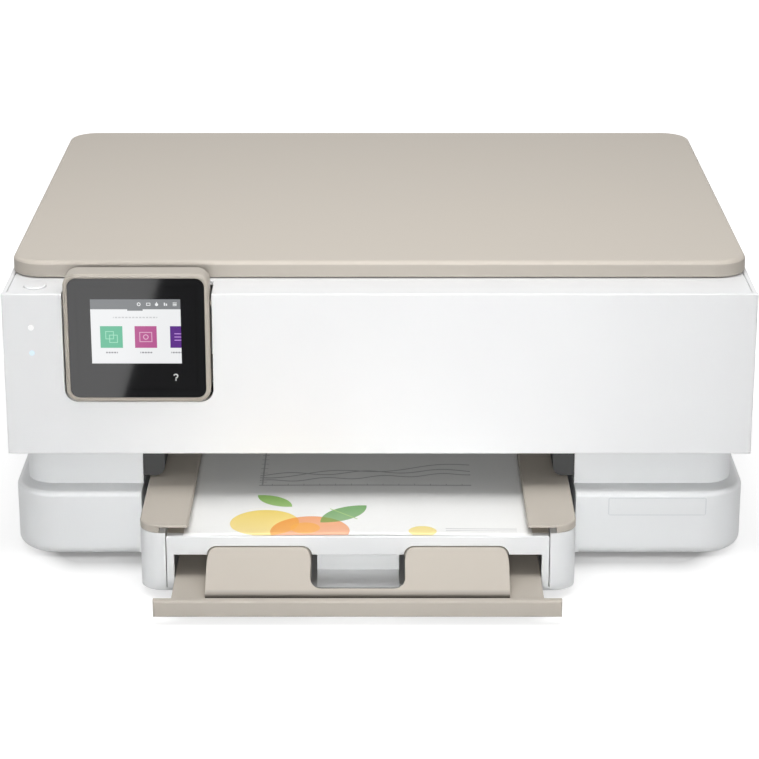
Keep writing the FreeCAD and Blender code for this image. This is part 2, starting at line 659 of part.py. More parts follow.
def base_tub():
    """The lower base: a tub with rounded corners, open above for the band and in front for the tray."""
    tub = Piece("base_tub")
    depth = (as_size(0), sizes.body_depth)
    tub.add("XY", base_side, depth, (sizes.foot_height, sizes.base_top), sizes.base_corner)
    tub.soften(sizes.base_edge, flat_at("Z", sizes.base_top))
    tub.soften(sizes.base_under, flat_at("Z", sizes.foot_height))
    inside = around(0, sizes.base_width - sizes.wall * 2)
    rear = (sizes.wall, sizes.body_depth - sizes.wall)
    tub.cut("XY", inside, rear, (floor_top, sizes.base_top - sizes.wall), sizes.base_corner - sizes.wall)
    throat = around(0, sizes.band_width - sizes.wall * 2)
    throat_depth = (sizes.band_setback + sizes.wall, sizes.body_depth - sizes.band_rear - sizes.wall)
    throat_corner = sizes.band_corner - sizes.wall
    tub.cut("XY", throat, throat_depth, (floor_top, sizes.base_top + past), throat_corner)
    bay_wall = (floor_top - sizes.merge, sizes.base_top - sizes.wall)
    for outer in (bay[0] - sizes.wall, bay[1]):
        tub.add("XY", (outer, outer + sizes.wall), (0, sizes.bay_depth), bay_wall)
    tub.cut("XY", bay, (-past, sizes.band_setback + sizes.wall + past), (floor_top, sizes.base_top + past))
    rear_wall = (sizes.body_depth - sizes.wall - past, sizes.body_depth + past)
    tub.cut("XZ", inlet_x, inlet_z, rear_wall)
    tub.cut("XZ", usb_x, usb_z, rear_wall)
    vent_height = (sizes.vent_bottom, sizes.vent_top)
    slot = tub.cut("XZ", around(sizes.vent_x, sizes.vent_width), vent_height, rear_wall)
    tub.repeat(slot, "X", sizes.vent_pitch, 11)


def upper_case():
    """The recessed band on the base: a rounded ring, open in front of the bay, with hinge ears behind."""
    band = Piece("upper_case")
    rear = sizes.body_depth - sizes.band_rear
    height = (sizes.base_top, sizes.band_top)
    band.add("XY", around(0, sizes.band_width), (sizes.band_setback, rear), height, sizes.band_corner)
    inside = around(0, sizes.band_width - sizes.wall * 2)
    inner_depth = (sizes.band_setback + sizes.wall, rear - sizes.wall)
    through = (sizes.base_top - past, sizes.band_top + past)
    band.cut("XY", inside, inner_depth, through, sizes.band_corner - sizes.wall)
    band.cut("XY", bay, (0, sizes.band_setback + sizes.wall + past), through)
    axis = (sizes.access_axis_y, sizes.access_axis_z)
    for side in (-1, 1):
        hinge = sizes.access_spread / 2 * side
        for ear in (-1, 1):
            offset = (sizes.access_knuckle / 2 + gap + sizes.access_ear / 2) * ear
            width = around(hinge + offset, sizes.access_ear)
            stem = (sizes.access_axis_y - sizes.access_radius, rear - sizes.wall)
            band.add("XY", width, stem, (sizes.band_top - sizes.access_ear * 2, sizes.access_axis_z))
            band.add_round("YZ", axis, sizes.access_radius, width)
            bore = (width[0] - past, width[1] + past)
            band.cut_round("YZ", axis, sizes.access_pin_radius + sizes.pin_fit, bore)


def access_hinge_pins():
    """The two steel pins that the scanner unit swings on."""
    pins = Piece("access_hinge_pins")
    length = sizes.access_knuckle + (gap + sizes.access_ear) * 2
    for side in (-1, 1):
        span = around(sizes.access_spread / 2 * side, length)
        centre = (sizes.access_axis_y, sizes.access_axis_z)
        pins.add_round("YZ", centre, sizes.access_pin_radius, span)


def rubber_feet():
    """Four round feet under the base."""
    feet = Piece("rubber_feet")
    for side in (-1, 1):
        x = (sizes.base_width / 2 - sizes.foot_inset) * side
        for y in (sizes.foot_inset, sizes.body_depth - sizes.foot_inset):
            feet.add_round("XY", (x, y), sizes.foot_radius, (0, sizes.foot_height))


def bay_guides():
    """Dark blocks that close the bay's upper corners above the tray."""
    guides = Piece("bay_guides")
    height = (sizes.arm_top + sizes.block_room, sizes.band_top)
    depth = (sizes.band_setback + sizes.wall, sizes.block_rear)
    show = (bay[0] + sizes.block_show, bay[1] - sizes.block_show)
    guides.add("XY", (bay[0] - sizes.block_lap, show[0]), depth, height)
    guides.add("XY", (show[1], bay[1] + sizes.block_lap), depth, height)
    inner = (show[0].number, show[1].number)

    def lower_inner(edge):
        box = edge.BoundBox
        at_side = min(abs(box.XMin - x) + abs(box.XMax - x) for x in inner) < 0.01
        return at_side and abs(box.ZMax - height[0].number) < 0.01

    guides.soften(sizes.block_corner, lower_inner)


# Scanner unit.

unit_back = sizes.body_depth - sizes.unit_rear
unit_width = sizes.body_width - sizes.unit_inset * 2
touch_middle = panel_left + sizes.touch_inset
button_centre = (panel_left + sizes.button_inset, sizes.button_y)
light_x = panel_left + sizes.light_inset
boss_x = unit_width / 2 - sizes.boss_inset
scan_bar_x = sizes.scan_park - boss_x
deck_bottom = sizes.deck_top - sizes.deck_thickness
touch_hole = around(touch_middle, sizes.touch_width + sizes.touch_gap * 2)
glass_bottom = deck_bottom - sizes.glass_thickness


def front_fascia():
    """The flat white front panel with the touch panel's notch and the holes of the status lights."""
    fascia = Piece("front_fascia")
    thickness = (as_size(0), sizes.panel_thickness)
    through = (-past, sizes.panel_thickness + past)
    fascia.add("XZ", around(0, sizes.body_width), (sizes.panel_bottom, sizes.deck_top), thickness)
    fascia.soften(sizes.panel_edge, flat_at("Y", as_size(0)))
    notch = (sizes.touch_bottom - sizes.touch_gap, sizes.deck_top + sizes.touch_corner * 2)
    fascia.cut("XZ", touch_hole, notch, through, sizes.touch_corner)
    for height in (sizes.light_upper, sizes.light_lower):
        fascia.cut_round("XZ", (light_x, height), sizes.light_radius + sizes.pin_fit, through)


def status_lights():
    """Two light guides that end flush with the front panel."""
    lights = Piece("status_lights")
    for height in (sizes.light_upper, sizes.light_lower):
        lights.add_round("XZ", (light_x, height), sizes.light_radius, (0, sizes.panel_thickness))


def scanner_housing():
    """The scanner unit's shell: side and rear walls, the tub's floor, the panel's well and the bosses."""
    shell = Piece("scanner_housing")
    wall = sizes.wall
    depth = (sizes.panel_thickness, unit_back)
    shell.add("XY", around(0, unit_width), depth, (sizes.panel_bottom, deck_bottom))
    inside = around(0, unit_width - wall * 2)
    shell.cut("XY", inside, (0, unit_back - wall), (sizes.panel_bottom - past, deck_bottom + past))
    rear_wall = (unit_back - wall - past, unit_back + past)
    shell.cut("XZ", inside, (sizes.panel_bottom - past, sizes.rear_wall_bottom), rear_wall)
    floor = (sizes.scan_floor_top - wall, sizes.scan_floor_top)
    shell.add("XY", around(0, unit_width - wall), (sizes.panel_thickness, unit_back - wall / 2), floor)
    shell.cut("XY", touch_hole, (0, sizes.well_depth), (floor[0] - past, floor[1] + past))
    well = (sizes.panel_thickness, sizes.well_depth)
    tilt = (sizes.tilt_axis_y, sizes.tilt_axis_z)
    for outer in (touch_hole[0] - sizes.well_wall, touch_hole[1]):
        side = (outer, outer + sizes.well_wall)
        shell.add("XY", side, well, (floor[0], deck_bottom))
        shell.cut_round("YZ", tilt, sizes.tilt_pin_radius + sizes.pin_fit, (side[0] - past, side[1] + past))
    for side in (-1, 1):
        boss = around(boss_x * side, sizes.boss_width)
        depth = around(sizes.scan_rod_y, sizes.scan_rod_radius * 4)
        top = sizes.scan_rod_z + sizes.scan_rod_radius * 2
        shell.add("XY", boss, depth, (floor[1] - past, top))
        centre = (sizes.scan_rod_y, sizes.scan_rod_z)
        shell.cut_round("YZ", centre, sizes.scan_rod_radius + sizes.pin_fit, (boss[0] - past, boss[1] + past))
        knuckle = around(sizes.access_spread / 2 * side, sizes.access_knuckle)
        stem = around(sizes.access_axis_y, sizes.access_radius * 2)
        axis = (sizes.access_axis_y, sizes.access_axis_z)
        shell.add("XY", knuckle, stem, (sizes.access_axis_z, floor[0] + past))
        shell.add_round("YZ", axis, sizes.access_radius, knuckle)
        bore = (knuckle[0] - past, knuckle[1] + past)
        shell.cut_round("YZ", axis, sizes.access_pin_radius + sizes.pin_fit, bore)


def scanner_deck():
    """The white deck round the scanning window, with a seam along each side and the lid's hinge ears."""
    deck = Piece("scanner_deck")
    thickness = (deck_bottom, sizes.deck_top)
    through = (deck_bottom - past, sizes.deck_top + past)
    deck.add("XY", around(0, unit_width), (sizes.panel_thickness, unit_back), thickness)
    window = (sizes.window_front, sizes.window_front + sizes.window_depth)
    deck.cut("XY", around(0, sizes.window_width), window, through, sizes.window_corner)
    deck.cut("XY", touch_hole, (0, sizes.tilt_room), through)
    deck.cut_round("XY", button_centre, sizes.button_radius + gap, through)
    seam_height = (sizes.deck_top - sizes.seam_depth, sizes.deck_top + past)
    for side in (-1, 1):
        seam = around((unit_width / 2 - sizes.seam_inset) * side, sizes.seam_width)
        deck.cut("XY", seam, (0, unit_back + past), seam_height)
        for ear in (-1, 1):
            offset = (sizes.knuckle_length / 2 + gap + sizes.ear_length / 2) * ear
            span = around(sizes.knuckle_spread / 2 * side + offset, sizes.ear_length)
            foot = (sizes.lid_axis_y - sizes.knuckle_radius, sizes.lid_axis_y + sizes.knuckle_radius)
            axis = (sizes.lid_axis_y, sizes.lid_axis_z)
            deck.add("XY", span, foot, (deck_bottom, sizes.lid_axis_z))
            deck.add_round("YZ", axis, sizes.knuckle_radius, span)
            deck.cut_round("YZ", axis, sizes.lid_pin_radius + sizes.pin_fit, (span[0] - past, span[1] + past))


def scanner_glass():
    """The scanning glass, bonded under the deck round its window."""
    glass = Piece("scanner_glass")
    border = sizes.glass_border
    depth = (sizes.window_front - border, sizes.window_front + sizes.window_depth + border)
    glass.add("XY", around(0, sizes.window_width + border * 2), depth, (glass_bottom, deck_bottom))


def scan_rod():
    """The steel rod that the scan bar runs along."""
    rod = Piece("scan_rod")
    length = boss_x * 2 + sizes.boss_width
    rod.add_round("YZ", (sizes.scan_rod_y, sizes.scan_rod_z), sizes.scan_rod_radius, around(0, length))


def scan_bar():
    """The contact image sensor: a bar across the glass on a block that slides along the rod."""
    bar = Piece("scan_bar")
    top = glass_bottom - gap * 2
    bottom = top - sizes.scan_bar_height
    depth = (sizes.window_front, sizes.window_front + sizes.window_depth)
    bar.add("XY", around(scan_bar_x, sizes.scan_bar_width), depth, (bottom, top))
    block = around(scan_bar_x, sizes.scan_block_width)
    block_height = (sizes.scan_rod_z - sizes.scan_rod_radius * 2, bottom + sizes.merge)
    bar.add("XY", block, around(sizes.scan_rod_y, sizes.scan_block_depth), block_height)
    centre = (sizes.scan_rod_y, sizes.scan_rod_z)
    bar.cut_round("YZ", centre, sizes.scan_rod_radius + sizes.pin_fit, (block[0] - past, block[1] + past))
    lens = around(scan_bar_x, sizes.lens_width)
    lens_depth = (depth[0] + sizes.lens_end, depth[1] - sizes.lens_end)
    bar.cut("XY", lens, lens_depth, (top - sizes.lens_depth, top + past))


def power_button():
    """The round power button in the deck's left corner."""
    button = Piece("power_button")
    height = (sizes.deck_top - sizes.button_stem, sizes.deck_top + sizes.button_proud)
    button.add_round("XY", button_centre, sizes.button_radius, height)
    button.bevel(sizes.button_edge, flat_at("Z", height[1]))


# Lid.

lid_width = sizes.body_width - sizes.lid_inset * 2
lid_bottom = sizes.deck_top + sizes.lid_gap
lid_top = lid_bottom + sizes.lid_thickness


def lid_shell():
    """The scanner lid: a rounded plate with soft edges, a recess for its pad and two hinge knuckles."""
    lid = Piece("lid_shell")
    depth = (sizes.lid_front, sizes.lid_rear)
    lid.add("XY", around(0, lid_width), depth, (lid_bottom, lid_top), sizes.lid_corner)
    lid.soften(sizes.lid_edge, flat_at("Z", lid_top))
    inset = sizes.pad_inset
    recess = (sizes.lid_front + inset, sizes.lid_rear - inset)
    width = around(0, lid_width - inset * 2)
    lid.cut("XY", width, recess, (lid_bottom - past, lid_bottom + sizes.pad_recess))
    for side in (-1, 1):
        span = around(sizes.knuckle_spread / 2 * side, sizes.knuckle_length)
        axis = (sizes.lid_axis_y, sizes.lid_axis_z)
        height = around(sizes.lid_axis_z, sizes.knuckle_radius * 2)
        lid.add("XY", span, (sizes.lid_rear - past, sizes.lid_axis_y), height)
        lid.add_round("YZ", axis, sizes.knuckle_radius, span)
        lid.cut_round("YZ", axis, sizes.lid_pin_radius + sizes.pin_fit, (span[0] - past, span[1] + past))


def lid_pad():
    """The white pad that presses a page to the glass."""
    pad = Piece("lid_pad")
    inset = sizes.pad_inset + gap
    depth = (sizes.lid_front + inset, sizes.lid_rear - inset)
    top = lid_bottom + sizes.pad_recess
    pad.add("XY", around(0, lid_width - inset * 2), depth, (top - sizes.pad_thickness, top))


def lid_hinge_pins():
    """The pins of the lid's two hinges, held in the deck's ears."""
    pins = Piece("lid_hinge_pins")
    length = sizes.knuckle_length + (gap + sizes.ear_length) * 2
    for side in (-1, 1):
        span = around(sizes.knuckle_spread / 2 * side, length)
        pins.add_round("YZ", (sizes.lid_axis_y, sizes.lid_axis_z), sizes.lid_pin_radius, span)


# Touch panel.

touch_face = -sizes.touch_proud


def touch_bezel():
    """The touch panel's case: a rounded box with a recess for the glass and a pivot on each side."""
    case = Piece("touch_bezel")
    width = around(touch_middle, sizes.touch_width)
    height = (sizes.touch_bottom, sizes.touch_top)
    case.add("XZ", width, height, (touch_face, touch_face + sizes.touch_depth), sizes.touch_corner)
    case.soften(sizes.touch_edge, flat_at("Y", touch_face))
    edge = sizes.bezel
    inside = (sizes.touch_bottom + edge, sizes.touch_top - edge)
    glass_width = around(touch_middle, sizes.touch_width - edge * 2)
    glass_depth = (touch_face - past, touch_face + sizes.touch_glass)
    case.cut("XZ", glass_width, inside, glass_depth, sizes.glass_corner)
    reach = sizes.touch_gap + sizes.well_wall
    axis = (sizes.tilt_axis_y, sizes.tilt_axis_z)
    case.add_round("YZ", axis, sizes.tilt_pin_radius, (width[0] - reach, width[1] + reach))


def touch_glass():
    """The black cover glass over the screen."""
    glass = Piece("touch_glass")
    edge = sizes.bezel + sizes.glass_fit
    width = around(touch_middle, sizes.touch_width - edge * 2)
    height = (sizes.touch_bottom + edge, sizes.touch_top - edge)
    depth = (touch_face + sizes.glass_sunk, touch_face + sizes.touch_glass)
    glass.add("XZ", width, height, depth, sizes.glass_corner)


# Paper tray.

tray_bottom = floor_top + gap
tray_floor_top = tray_bottom + sizes.tray_floor
tray_span = around(middle, sizes.tray_width)
tray_face = -sizes.tray_reach
lip_face = tray_face - sizes.extender_reach
lip_back = lip_face + sizes.lip_thickness
inside_width = sizes.tray_width - sizes.tray_wall * 2
between_posts = sizes.tray_width - sizes.post_width * 2
rack_bottom = tray_floor_top + gap
rack_top = rack_bottom + sizes.rack_thickness


def tray_pan():
    """The tray: floor, side walls, front corner posts, a low rear wall, stop, runners and a stud."""
    pan = Piece("tray_pan")
    pan.add("XY", tray_span, (tray_face, sizes.tray_rear), (tray_bottom, sizes.tray_top), sizes.tray_corner)
    above = (tray_floor_top, sizes.tray_top + past)
    posts_rear = tray_face + sizes.post_depth
    pan.cut("XY", around(middle, inside_width), (posts_rear, sizes.tray_rear - sizes.tray_wall), above)
    pan.cut("XY", around(middle, between_posts), (tray_face - past, posts_rear + past), above)
    rear_wall = (sizes.tray_rear - sizes.tray_wall - past, sizes.tray_rear + past)
    pan.cut("XY", around(middle, inside_width), rear_wall, (sizes.tray_rear_top, sizes.tray_top + past))
    stop_y = tray_face + sizes.stop_setback
    stop_height = (tray_floor_top - sizes.merge, sizes.stop_top)
    stop_width = around(middle, sizes.stop_width)
    pan.add("XY", stop_width, (stop_y, stop_y + sizes.tray_wall), stop_height)
    stop_ramp = [
        (tray_face + past, stop_height[0]),
        (stop_y + sizes.merge, stop_height[0]),
        (stop_y + sizes.merge, sizes.stop_ramp_top),
        (tray_face + past, tray_floor_top),
    ]
    pan.add_shape("YZ", stop_ramp, stop_width)
    runner_height = (tray_floor_top - sizes.merge, sizes.slide_top - sizes.slide_thickness - gap)
    runner_depth = (tray_face + sizes.frame_depth + past, sizes.runner_rear)
    for side in (-1, 1):
        runner = around(middle + sizes.runner_spread / 2 * side, sizes.runner_width)
        pan.add("XY", runner, runner_depth, runner_height)
    stud = (tray_floor_top - sizes.merge, rack_top + sizes.stud_top)
    pan.add_round("XY", (middle, sizes.stud_y), sizes.stud_radius, stud)


def tray_frame():
    """The tray's white front frame: a bar on two legs that the extender runs through."""
    frame = Piece("tray_frame")
    width = around(middle, between_posts - sizes.frame_gap * 2)
    depth = (tray_face + sizes.frame_sunk, tray_face + sizes.frame_depth)
    through = (tray_face - past, tray_face + sizes.frame_depth + past)
    frame.add("XZ", width, (tray_floor_top, sizes.frame_top), depth)
    frame.soften(sizes.frame_edge, flat_at("Z", sizes.frame_top))
    mouth = around(middle, sizes.slide_width + sizes.slide_room * 2)
    frame.cut("XZ", mouth, (tray_floor_top - past, sizes.bar_bottom), through)
    height = (sizes.slide_top, sizes.bump_top + sizes.bump_room)
    for ramp in ramp_spans():
        notch = (ramp[0] - sizes.bump_room, ramp[1] + sizes.bump_room)
        frame.cut("XZ", notch, height, through, sizes.bump_corner + sizes.bump_room)


def ramp_spans():
    """The two sides of each of the extender's ramps."""
    left = (middle - sizes.bump_outer, middle - sizes.bump_inner)
    right = (middle + sizes.bump_inner, middle + sizes.bump_outer)
    return (left, right)


def output_deck():
    """The output deck: two raised arms over the tray's sides and a thin floor under the sheet."""
    deck = Piece("output_deck")
    floor = (sizes.deck_floor_top - sizes.deck_floor, sizes.deck_floor_top)
    front = tray_face + sizes.frame_depth + past
    behind_posts = tray_face + sizes.post_depth + sizes.deck_fit
    deck.add("XY", around(middle, between_posts - sizes.deck_fit * 2), (front, behind_posts + past), floor)
    room = inside_width - sizes.deck_fit * 2
    deck.add("XY", around(middle, room), (behind_posts, sizes.arm_rear), floor)
    arm_bottom = sizes.tray_top + gap
    cover = (arm_bottom, sizes.arm_top)
    deck.add("XY", tray_span, (tray_face, sizes.arm_rear), cover, sizes.tray_corner)
    opening = around(middle, sizes.deck_opening)
    opening_depth = (tray_face - past, sizes.arm_rear + past)
    deck.cut("XY", opening, opening_depth, (arm_bottom - past, sizes.arm_top + past))
    deck.soften(sizes.arm_edge, flat_at("Z", sizes.arm_top))
    rail = (floor[0], arm_bottom + sizes.merge)
    for side in (-1, 1):
        inner = (sizes.deck_opening / 2 + sizes.arm_lap) * side
        outer = room / 2 * side
        ends = (inner, outer) if side > 0 else (outer, inner)
        deck.add("XY", (middle + ends[0], middle + ends[1]), (behind_posts, sizes.arm_rear), rail)
    notch_height = (arm_bottom - past, sizes.arm_top - sizes.notch_roof)
    notch_depth = (tray_face - past, tray_face + sizes.notch_depth)
    deck.cut("XY", (opening[0] - sizes.notch_width, opening[0] + past), notch_depth, notch_height)
    deck.cut("XY", (opening[1] - past, opening[1] + sizes.notch_width), notch_depth, notch_height)


def paper_sheet():
    """A printed sheet lying on the deck, its edges under the arms."""
    sheet = Piece("paper_sheet")
    front = tray_face + sizes.frame_depth + sizes.sheet_setback
    bottom = sizes.deck_floor_top + sizes.sheet_room
    height = (bottom, bottom + sizes.sheet_thickness)
    sheet.add("XY", around(middle, sizes.sheet_width), (front, front + sizes.sheet_length), height)


def extender():
    """The pull-out extender: a lip, a plate and a ramp with a finger window that stops the sheet."""
    slide = Piece("extender")
    plate = (sizes.slide_top - sizes.slide_thickness, sizes.slide_top)
    slide.add("XZ", around(middle, sizes.lip_width), (sizes.lip_bottom, sizes.lip_top), (lip_face, lip_back))
    slide.soften(sizes.lip_edge, flat_at("Y", lip_face))
    slide.add("XY", around(middle, sizes.slide_width), (lip_back - sizes.merge, sizes.slide_rear), plate)
    crest = tray_face - sizes.bump_setback
    foot = lip_back + sizes.groove_width
    depth = (foot, crest + sizes.bump_crest)
    shoulder = (plate[0], sizes.bump_top - sizes.bump_corner)
    for ramp in ramp_spans():
        slide.add("XZ", ramp, (plate[0], sizes.bump_top), depth, sizes.bump_corner)
        slide.add("XZ", ramp, shoulder, depth)
    window_width = around(middle, sizes.bump_inner * 2)
    window_front = lip_back + sizes.finger_lip_depth
    slide.add("XZ", window_width, shoulder, (foot, window_front + sizes.finger_round))
    rise = (sizes.bump_top - sizes.slide_top) / (crest - lip_back)
    ahead = foot - past
    above = sizes.bump_top + past
    slope = [
        (ahead, sizes.slide_top + rise * (ahead - lip_back)),
        (crest, sizes.bump_top),
        (crest, above),
        (ahead, above),
    ]
    ramp_width = sizes.bump_outer * 2
    slide.cut_shape("YZ", slope, around(middle, ramp_width + past * 2))
    groove_height = (sizes.slide_top - sizes.groove_depth, sizes.slide_top + past)
    slide.cut("XY", around(middle, ramp_width), (lip_back, foot), groove_height)
    window = (window_front, sizes.slide_rear + sizes.finger_round * 2)
    slide.cut("XY", window_width, window, (plate[0] - past, above), sizes.finger_round)


rack_pitch = sizes.rack_module * math.pi
guide_teeth = 12
pinion_pitch_radius = sizes.rack_module * guide_teeth / 2
addendum = sizes.rack_module * sizes.stub_addendum
dedendum = sizes.rack_module * sizes.stub_dedendum
guide_face = sizes.sheet_width / 2 + sizes.guide_room
rack_teeth = 17
rack_short_end = 1.5
flank_lean = math.tan(math.radians(20))


def width_guide(label, side):
    """One of the two paper guides, with a rack that the pinion drives from the other guide's."""
    guide = Piece(label)
    face = middle + guide_face * side
    back = face + sizes.guide_thickness * side
    plate = (back, face) if side < 0 else (face, back)
    plate_height = (rack_top + sizes.guide_lift, sizes.guide_top)
    guide.add("XY", plate, (sizes.guide_front, sizes.guide_rear), plate_height)
    pitch_line = sizes.stud_y + pinion_pitch_radius * side
    root = pitch_line + dedendum * side
    outer = root + sizes.rack_back * side
    bar = (outer, root) if side < 0 else (root, outer)
    height = (rack_bottom, rack_top)
    far_end = middle - rack_pitch * (rack_short_end + 1) * side
    length = (back, far_end) if side < 0 else (far_end, back)
    guide.add("XY", length, bar, height)
    riser_end = back - sizes.guide_riser * side
    riser = (back, riser_end) if side < 0 else (riser_end, back)
    guide.add("XY", riser, bar, (rack_bottom, rack_top + sizes.guide_lift + sizes.merge))
    half = rack_pitch / 4 - sizes.tooth_play / 2
    tip = half - addendum * flank_lean
    foot = half + (dedendum + sizes.merge) * flank_lean
    first = rack_pitch * (rack_teeth - 1 - rack_short_end)
    tooth_x = middle - first if side < 0 else middle - rack_pitch * rack_short_end
    root_line = root + sizes.merge * side
    tip_line = pitch_line - addendum * side
    outline = [
        (tooth_x - foot, root_line),
        (tooth_x + foot, root_line),
        (tooth_x + tip, tip_line),
        (tooth_x - tip, tip_line),
    ]
    tooth = guide.add_shape("XY", outline, height)
    guide.repeat(tooth, "X", rack_pitch, rack_teeth)


def length_guide():
    """The guide that slides up to the sheets' front edge."""
    guide = Piece("length_guide")
    width = around(middle, sizes.length_guide_width)
    front = sizes.length_guide_y
    upright = (front, front + sizes.guide_thickness)
    guide.add("XY", width, upright, (rack_bottom, sizes.length_guide_top))
    foot = (front, front + sizes.length_guide_foot)
    guide.add("XY", width, foot, (rack_bottom, rack_bottom + sizes.guide_foot_height))


def gear(label, teeth, module, plane, centre, bore, span, tooth_turn):
    """A spur gear with involute flanks; the turn is where the middle of one tooth points."""
    tooth_size = module.number
    pitch_radius = tooth_size * teeth / 2
    pressure = math.radians(20)
    base_radius = pitch_radius * math.cos(pressure)
    tip_radius = pitch_radius + tooth_size * sizes.stub_addendum.number
    root_radius = pitch_radius - tooth_size * sizes.stub_dedendum.number
    half_angle = (math.pi * tooth_size / 2 - sizes.tooth_play.number / 2) / (2 * pitch_radius)
    start = max(base_radius, root_radius)
    flank = []
    for step in range(3):
        radius = start + (tip_radius - start) * step / 2
        slope = math.acos(min(1, base_radius / radius))
        turn = half_angle + math.tan(pressure) - pressure - math.tan(slope) + slope
        flank.append((radius, turn))
    if root_radius < start:
        flank.insert(0, (root_radius, flank[0][1]))
    points = []
    for tooth in range(teeth):
        middle_turn = math.radians(tooth_turn) + 2 * math.pi * tooth / teeth
        rising = [(radius, middle_turn - turn) for radius, turn in flank]
        falling = [(radius, middle_turn + turn) for radius, turn in reversed(flank)]
        for radius, turn in rising + falling:
            u = centre[0].number + radius * math.cos(turn)
            v = centre[1].number + radius * math.sin(turn)
            points.append((u, v))
    low = span[0].number
    length = span[1].number - low
    if plane == "YZ":
        outline = [Vector(low, u, v) for u, v in points]
        along = Vector(1, 0, 0)
        hub = Vector(low, centre[0].number, centre[1].number)
    else:
        outline = [Vector(u, v, low) for u, v in points]
        along = Vector(0, 0, 1)
        hub = Vector(centre[0].number, centre[1].number, low)
    blank = Part.Face(Part.makePolygon(outline + outline[:1])).extrude(along * length)
    wheel = doc.addObject("Part::Feature", label)
    wheel.Label = label
    wheel.Shape = blank.cut(Part.makeCylinder(bore.number, length, hub, along))
    wheel.Placement = Placement(Vector(0, front_shift.number, 0), Rotation())
    pieces.append(wheel)


# Print engine.

beam_face = sizes.side_rear - sizes.beam_thickness
feed_teeth = 32
idler_teeth = 22
pinion_teeth = 14
feed_pitch_radius = sizes.gear_module * feed_teeth / 2
idler_pitch_radius = sizes.gear_module * idler_teeth / 2
drive_pitch_radius = sizes.gear_module * pinion_teeth / 2
idler_y = sizes.feed_y - feed_pitch_radius - idler_pitch_radius
output_y = idler_y - idler_pitch_radius - feed_pitch_radius
drive_y = sizes.feed_y + feed_pitch_radius + drive_pitch_radius
gear_span = (-frame_outer - sizes.gear_gap - sizes.gear_width, -frame_outer - sizes.gear_gap)
pinch_z = sizes.roller_z + sizes.feed_radius + gap + sizes.pinch_radius
star_z = sizes.roller_z + sizes.output_radius + gap + sizes.star_radius
tyres = 5
shaft_hole = sizes.shaft_radius + sizes.pin_fit
axle_hole = sizes.axle_radius + sizes.pin_fit
belt_inner = sizes.pulley_radius + gap
belt_outer = belt_inner + sizes.belt_thickness


def engine_frame():
    """Two side plates and a rear beam that carry the rods, rollers and motors."""
    frame = Piece("engine_frame")
    depth = (sizes.side_front, sizes.side_rear)
    height = (floor_top, sizes.side_top)
    frame.add("XY", (-frame_outer, -frame_inner), depth, height)
    frame.add("XY", (frame_inner, frame_outer), depth, height)
    beam = (-frame_inner - sizes.merge, frame_inner + sizes.merge)
    frame.add("XY", beam, (beam_face, sizes.side_rear), (sizes.beam_bottom, sizes.side_top))
    across = (-frame_outer - past, frame_outer + past)
    frame.cut_round("YZ", (sizes.rod_y, sizes.rod_z), sizes.rod_radius + sizes.pin_fit, across)
    frame.cut_round("YZ", (sizes.feed_y, sizes.roller_z), shaft_hole, across)
    frame.cut_round("YZ", (output_y, sizes.roller_z), shaft_hole, across)
    frame.cut_round("YZ", (sizes.pick_axis_y, sizes.pick_axis_z), shaft_hole, across)
    left = (-frame_outer - past, -frame_inner + past)
    frame.cut_round("YZ", (drive_y, sizes.roller_z), sizes.pulley_shaft + past, left)
    stud = (gear_span[0], -frame_outer + sizes.merge)
    frame.add_round("YZ", (idler_y, sizes.roller_z), sizes.shaft_radius, stud)
    axle = (sizes.belt_y - sizes.belt_width, beam_face + sizes.merge)
    frame.add_round("XZ", (-pulley_x, sizes.belt_z), sizes.pulley_shaft, axle)


def platen():
    """The ribbed plate that holds the paper under the print heads."""
    plate = Piece("platen")
    depth = (sizes.platen_front, sizes.platen_rear)
    top = sizes.platen_top - sizes.platen_rib
    plate.add("XY", (-frame_inner, frame_inner), depth, (top - sizes.platen_thickness, top))
    rib_x = middle - sizes.rib_pitch * 8
    rib = plate.add("XY", around(rib_x, sizes.rib_width), depth, (top - sizes.merge, sizes.platen_top))
    plate.repeat(rib, "X", sizes.rib_pitch, 17)


def feed_roller():
    """The rubber roller that feeds the paper to the print heads, on its shaft."""
    roller = Piece("feed_roller")
    axis = (sizes.feed_y, sizes.roller_z)
    roller.add_round("YZ", axis, sizes.shaft_radius, (gear_span[0], frame_outer))
    roller.add_round("YZ", axis, sizes.feed_radius, around(middle, sizes.feed_length))


def output_roller():
    """The shaft with rubber tyres that carries the paper out."""
    roller = Piece("output_roller")
    axis = (output_y, sizes.roller_z)
    roller.add_round("YZ", axis, sizes.shaft_radius, (gear_span[0], frame_outer))
    first = middle - sizes.tyre_pitch * (tyres - 1) / 2
    tyre = roller.add_round("YZ", axis, sizes.output_radius, around(first, sizes.tyre_width))
    roller.repeat(tyre, "X", sizes.tyre_pitch, tyres)


def small_rollers(label, axis, radius, width):
    """A thin axle with a row of small wheels over the tyres."""
    rollers = Piece(label)
    rollers.add_round("YZ", axis, sizes.axle_radius, around(middle, sizes.axle_length))
    first = middle - sizes.tyre_pitch * (tyres - 1) / 2
    wheel = rollers.add_round("YZ", axis, radius, around(first, width))
    rollers.repeat(wheel, "X", sizes.tyre_pitch, tyres)


def axle_fingers(holder, axis, top):
    """Fingers between the small wheels, bored for their axle."""
    first = middle - sizes.tyre_pitch * (tyres - 2) / 2
    depth = around(axis[0], sizes.finger_depth)
    finger = holder.add("XY", around(first, sizes.finger_width), depth, (axis[1] - sizes.finger_drop, top))
    holder.repeat(finger, "X", sizes.tyre_pitch, tyres - 1)
    holder.cut_round("YZ", axis, axle_hole, around(middle, sizes.axle_length))


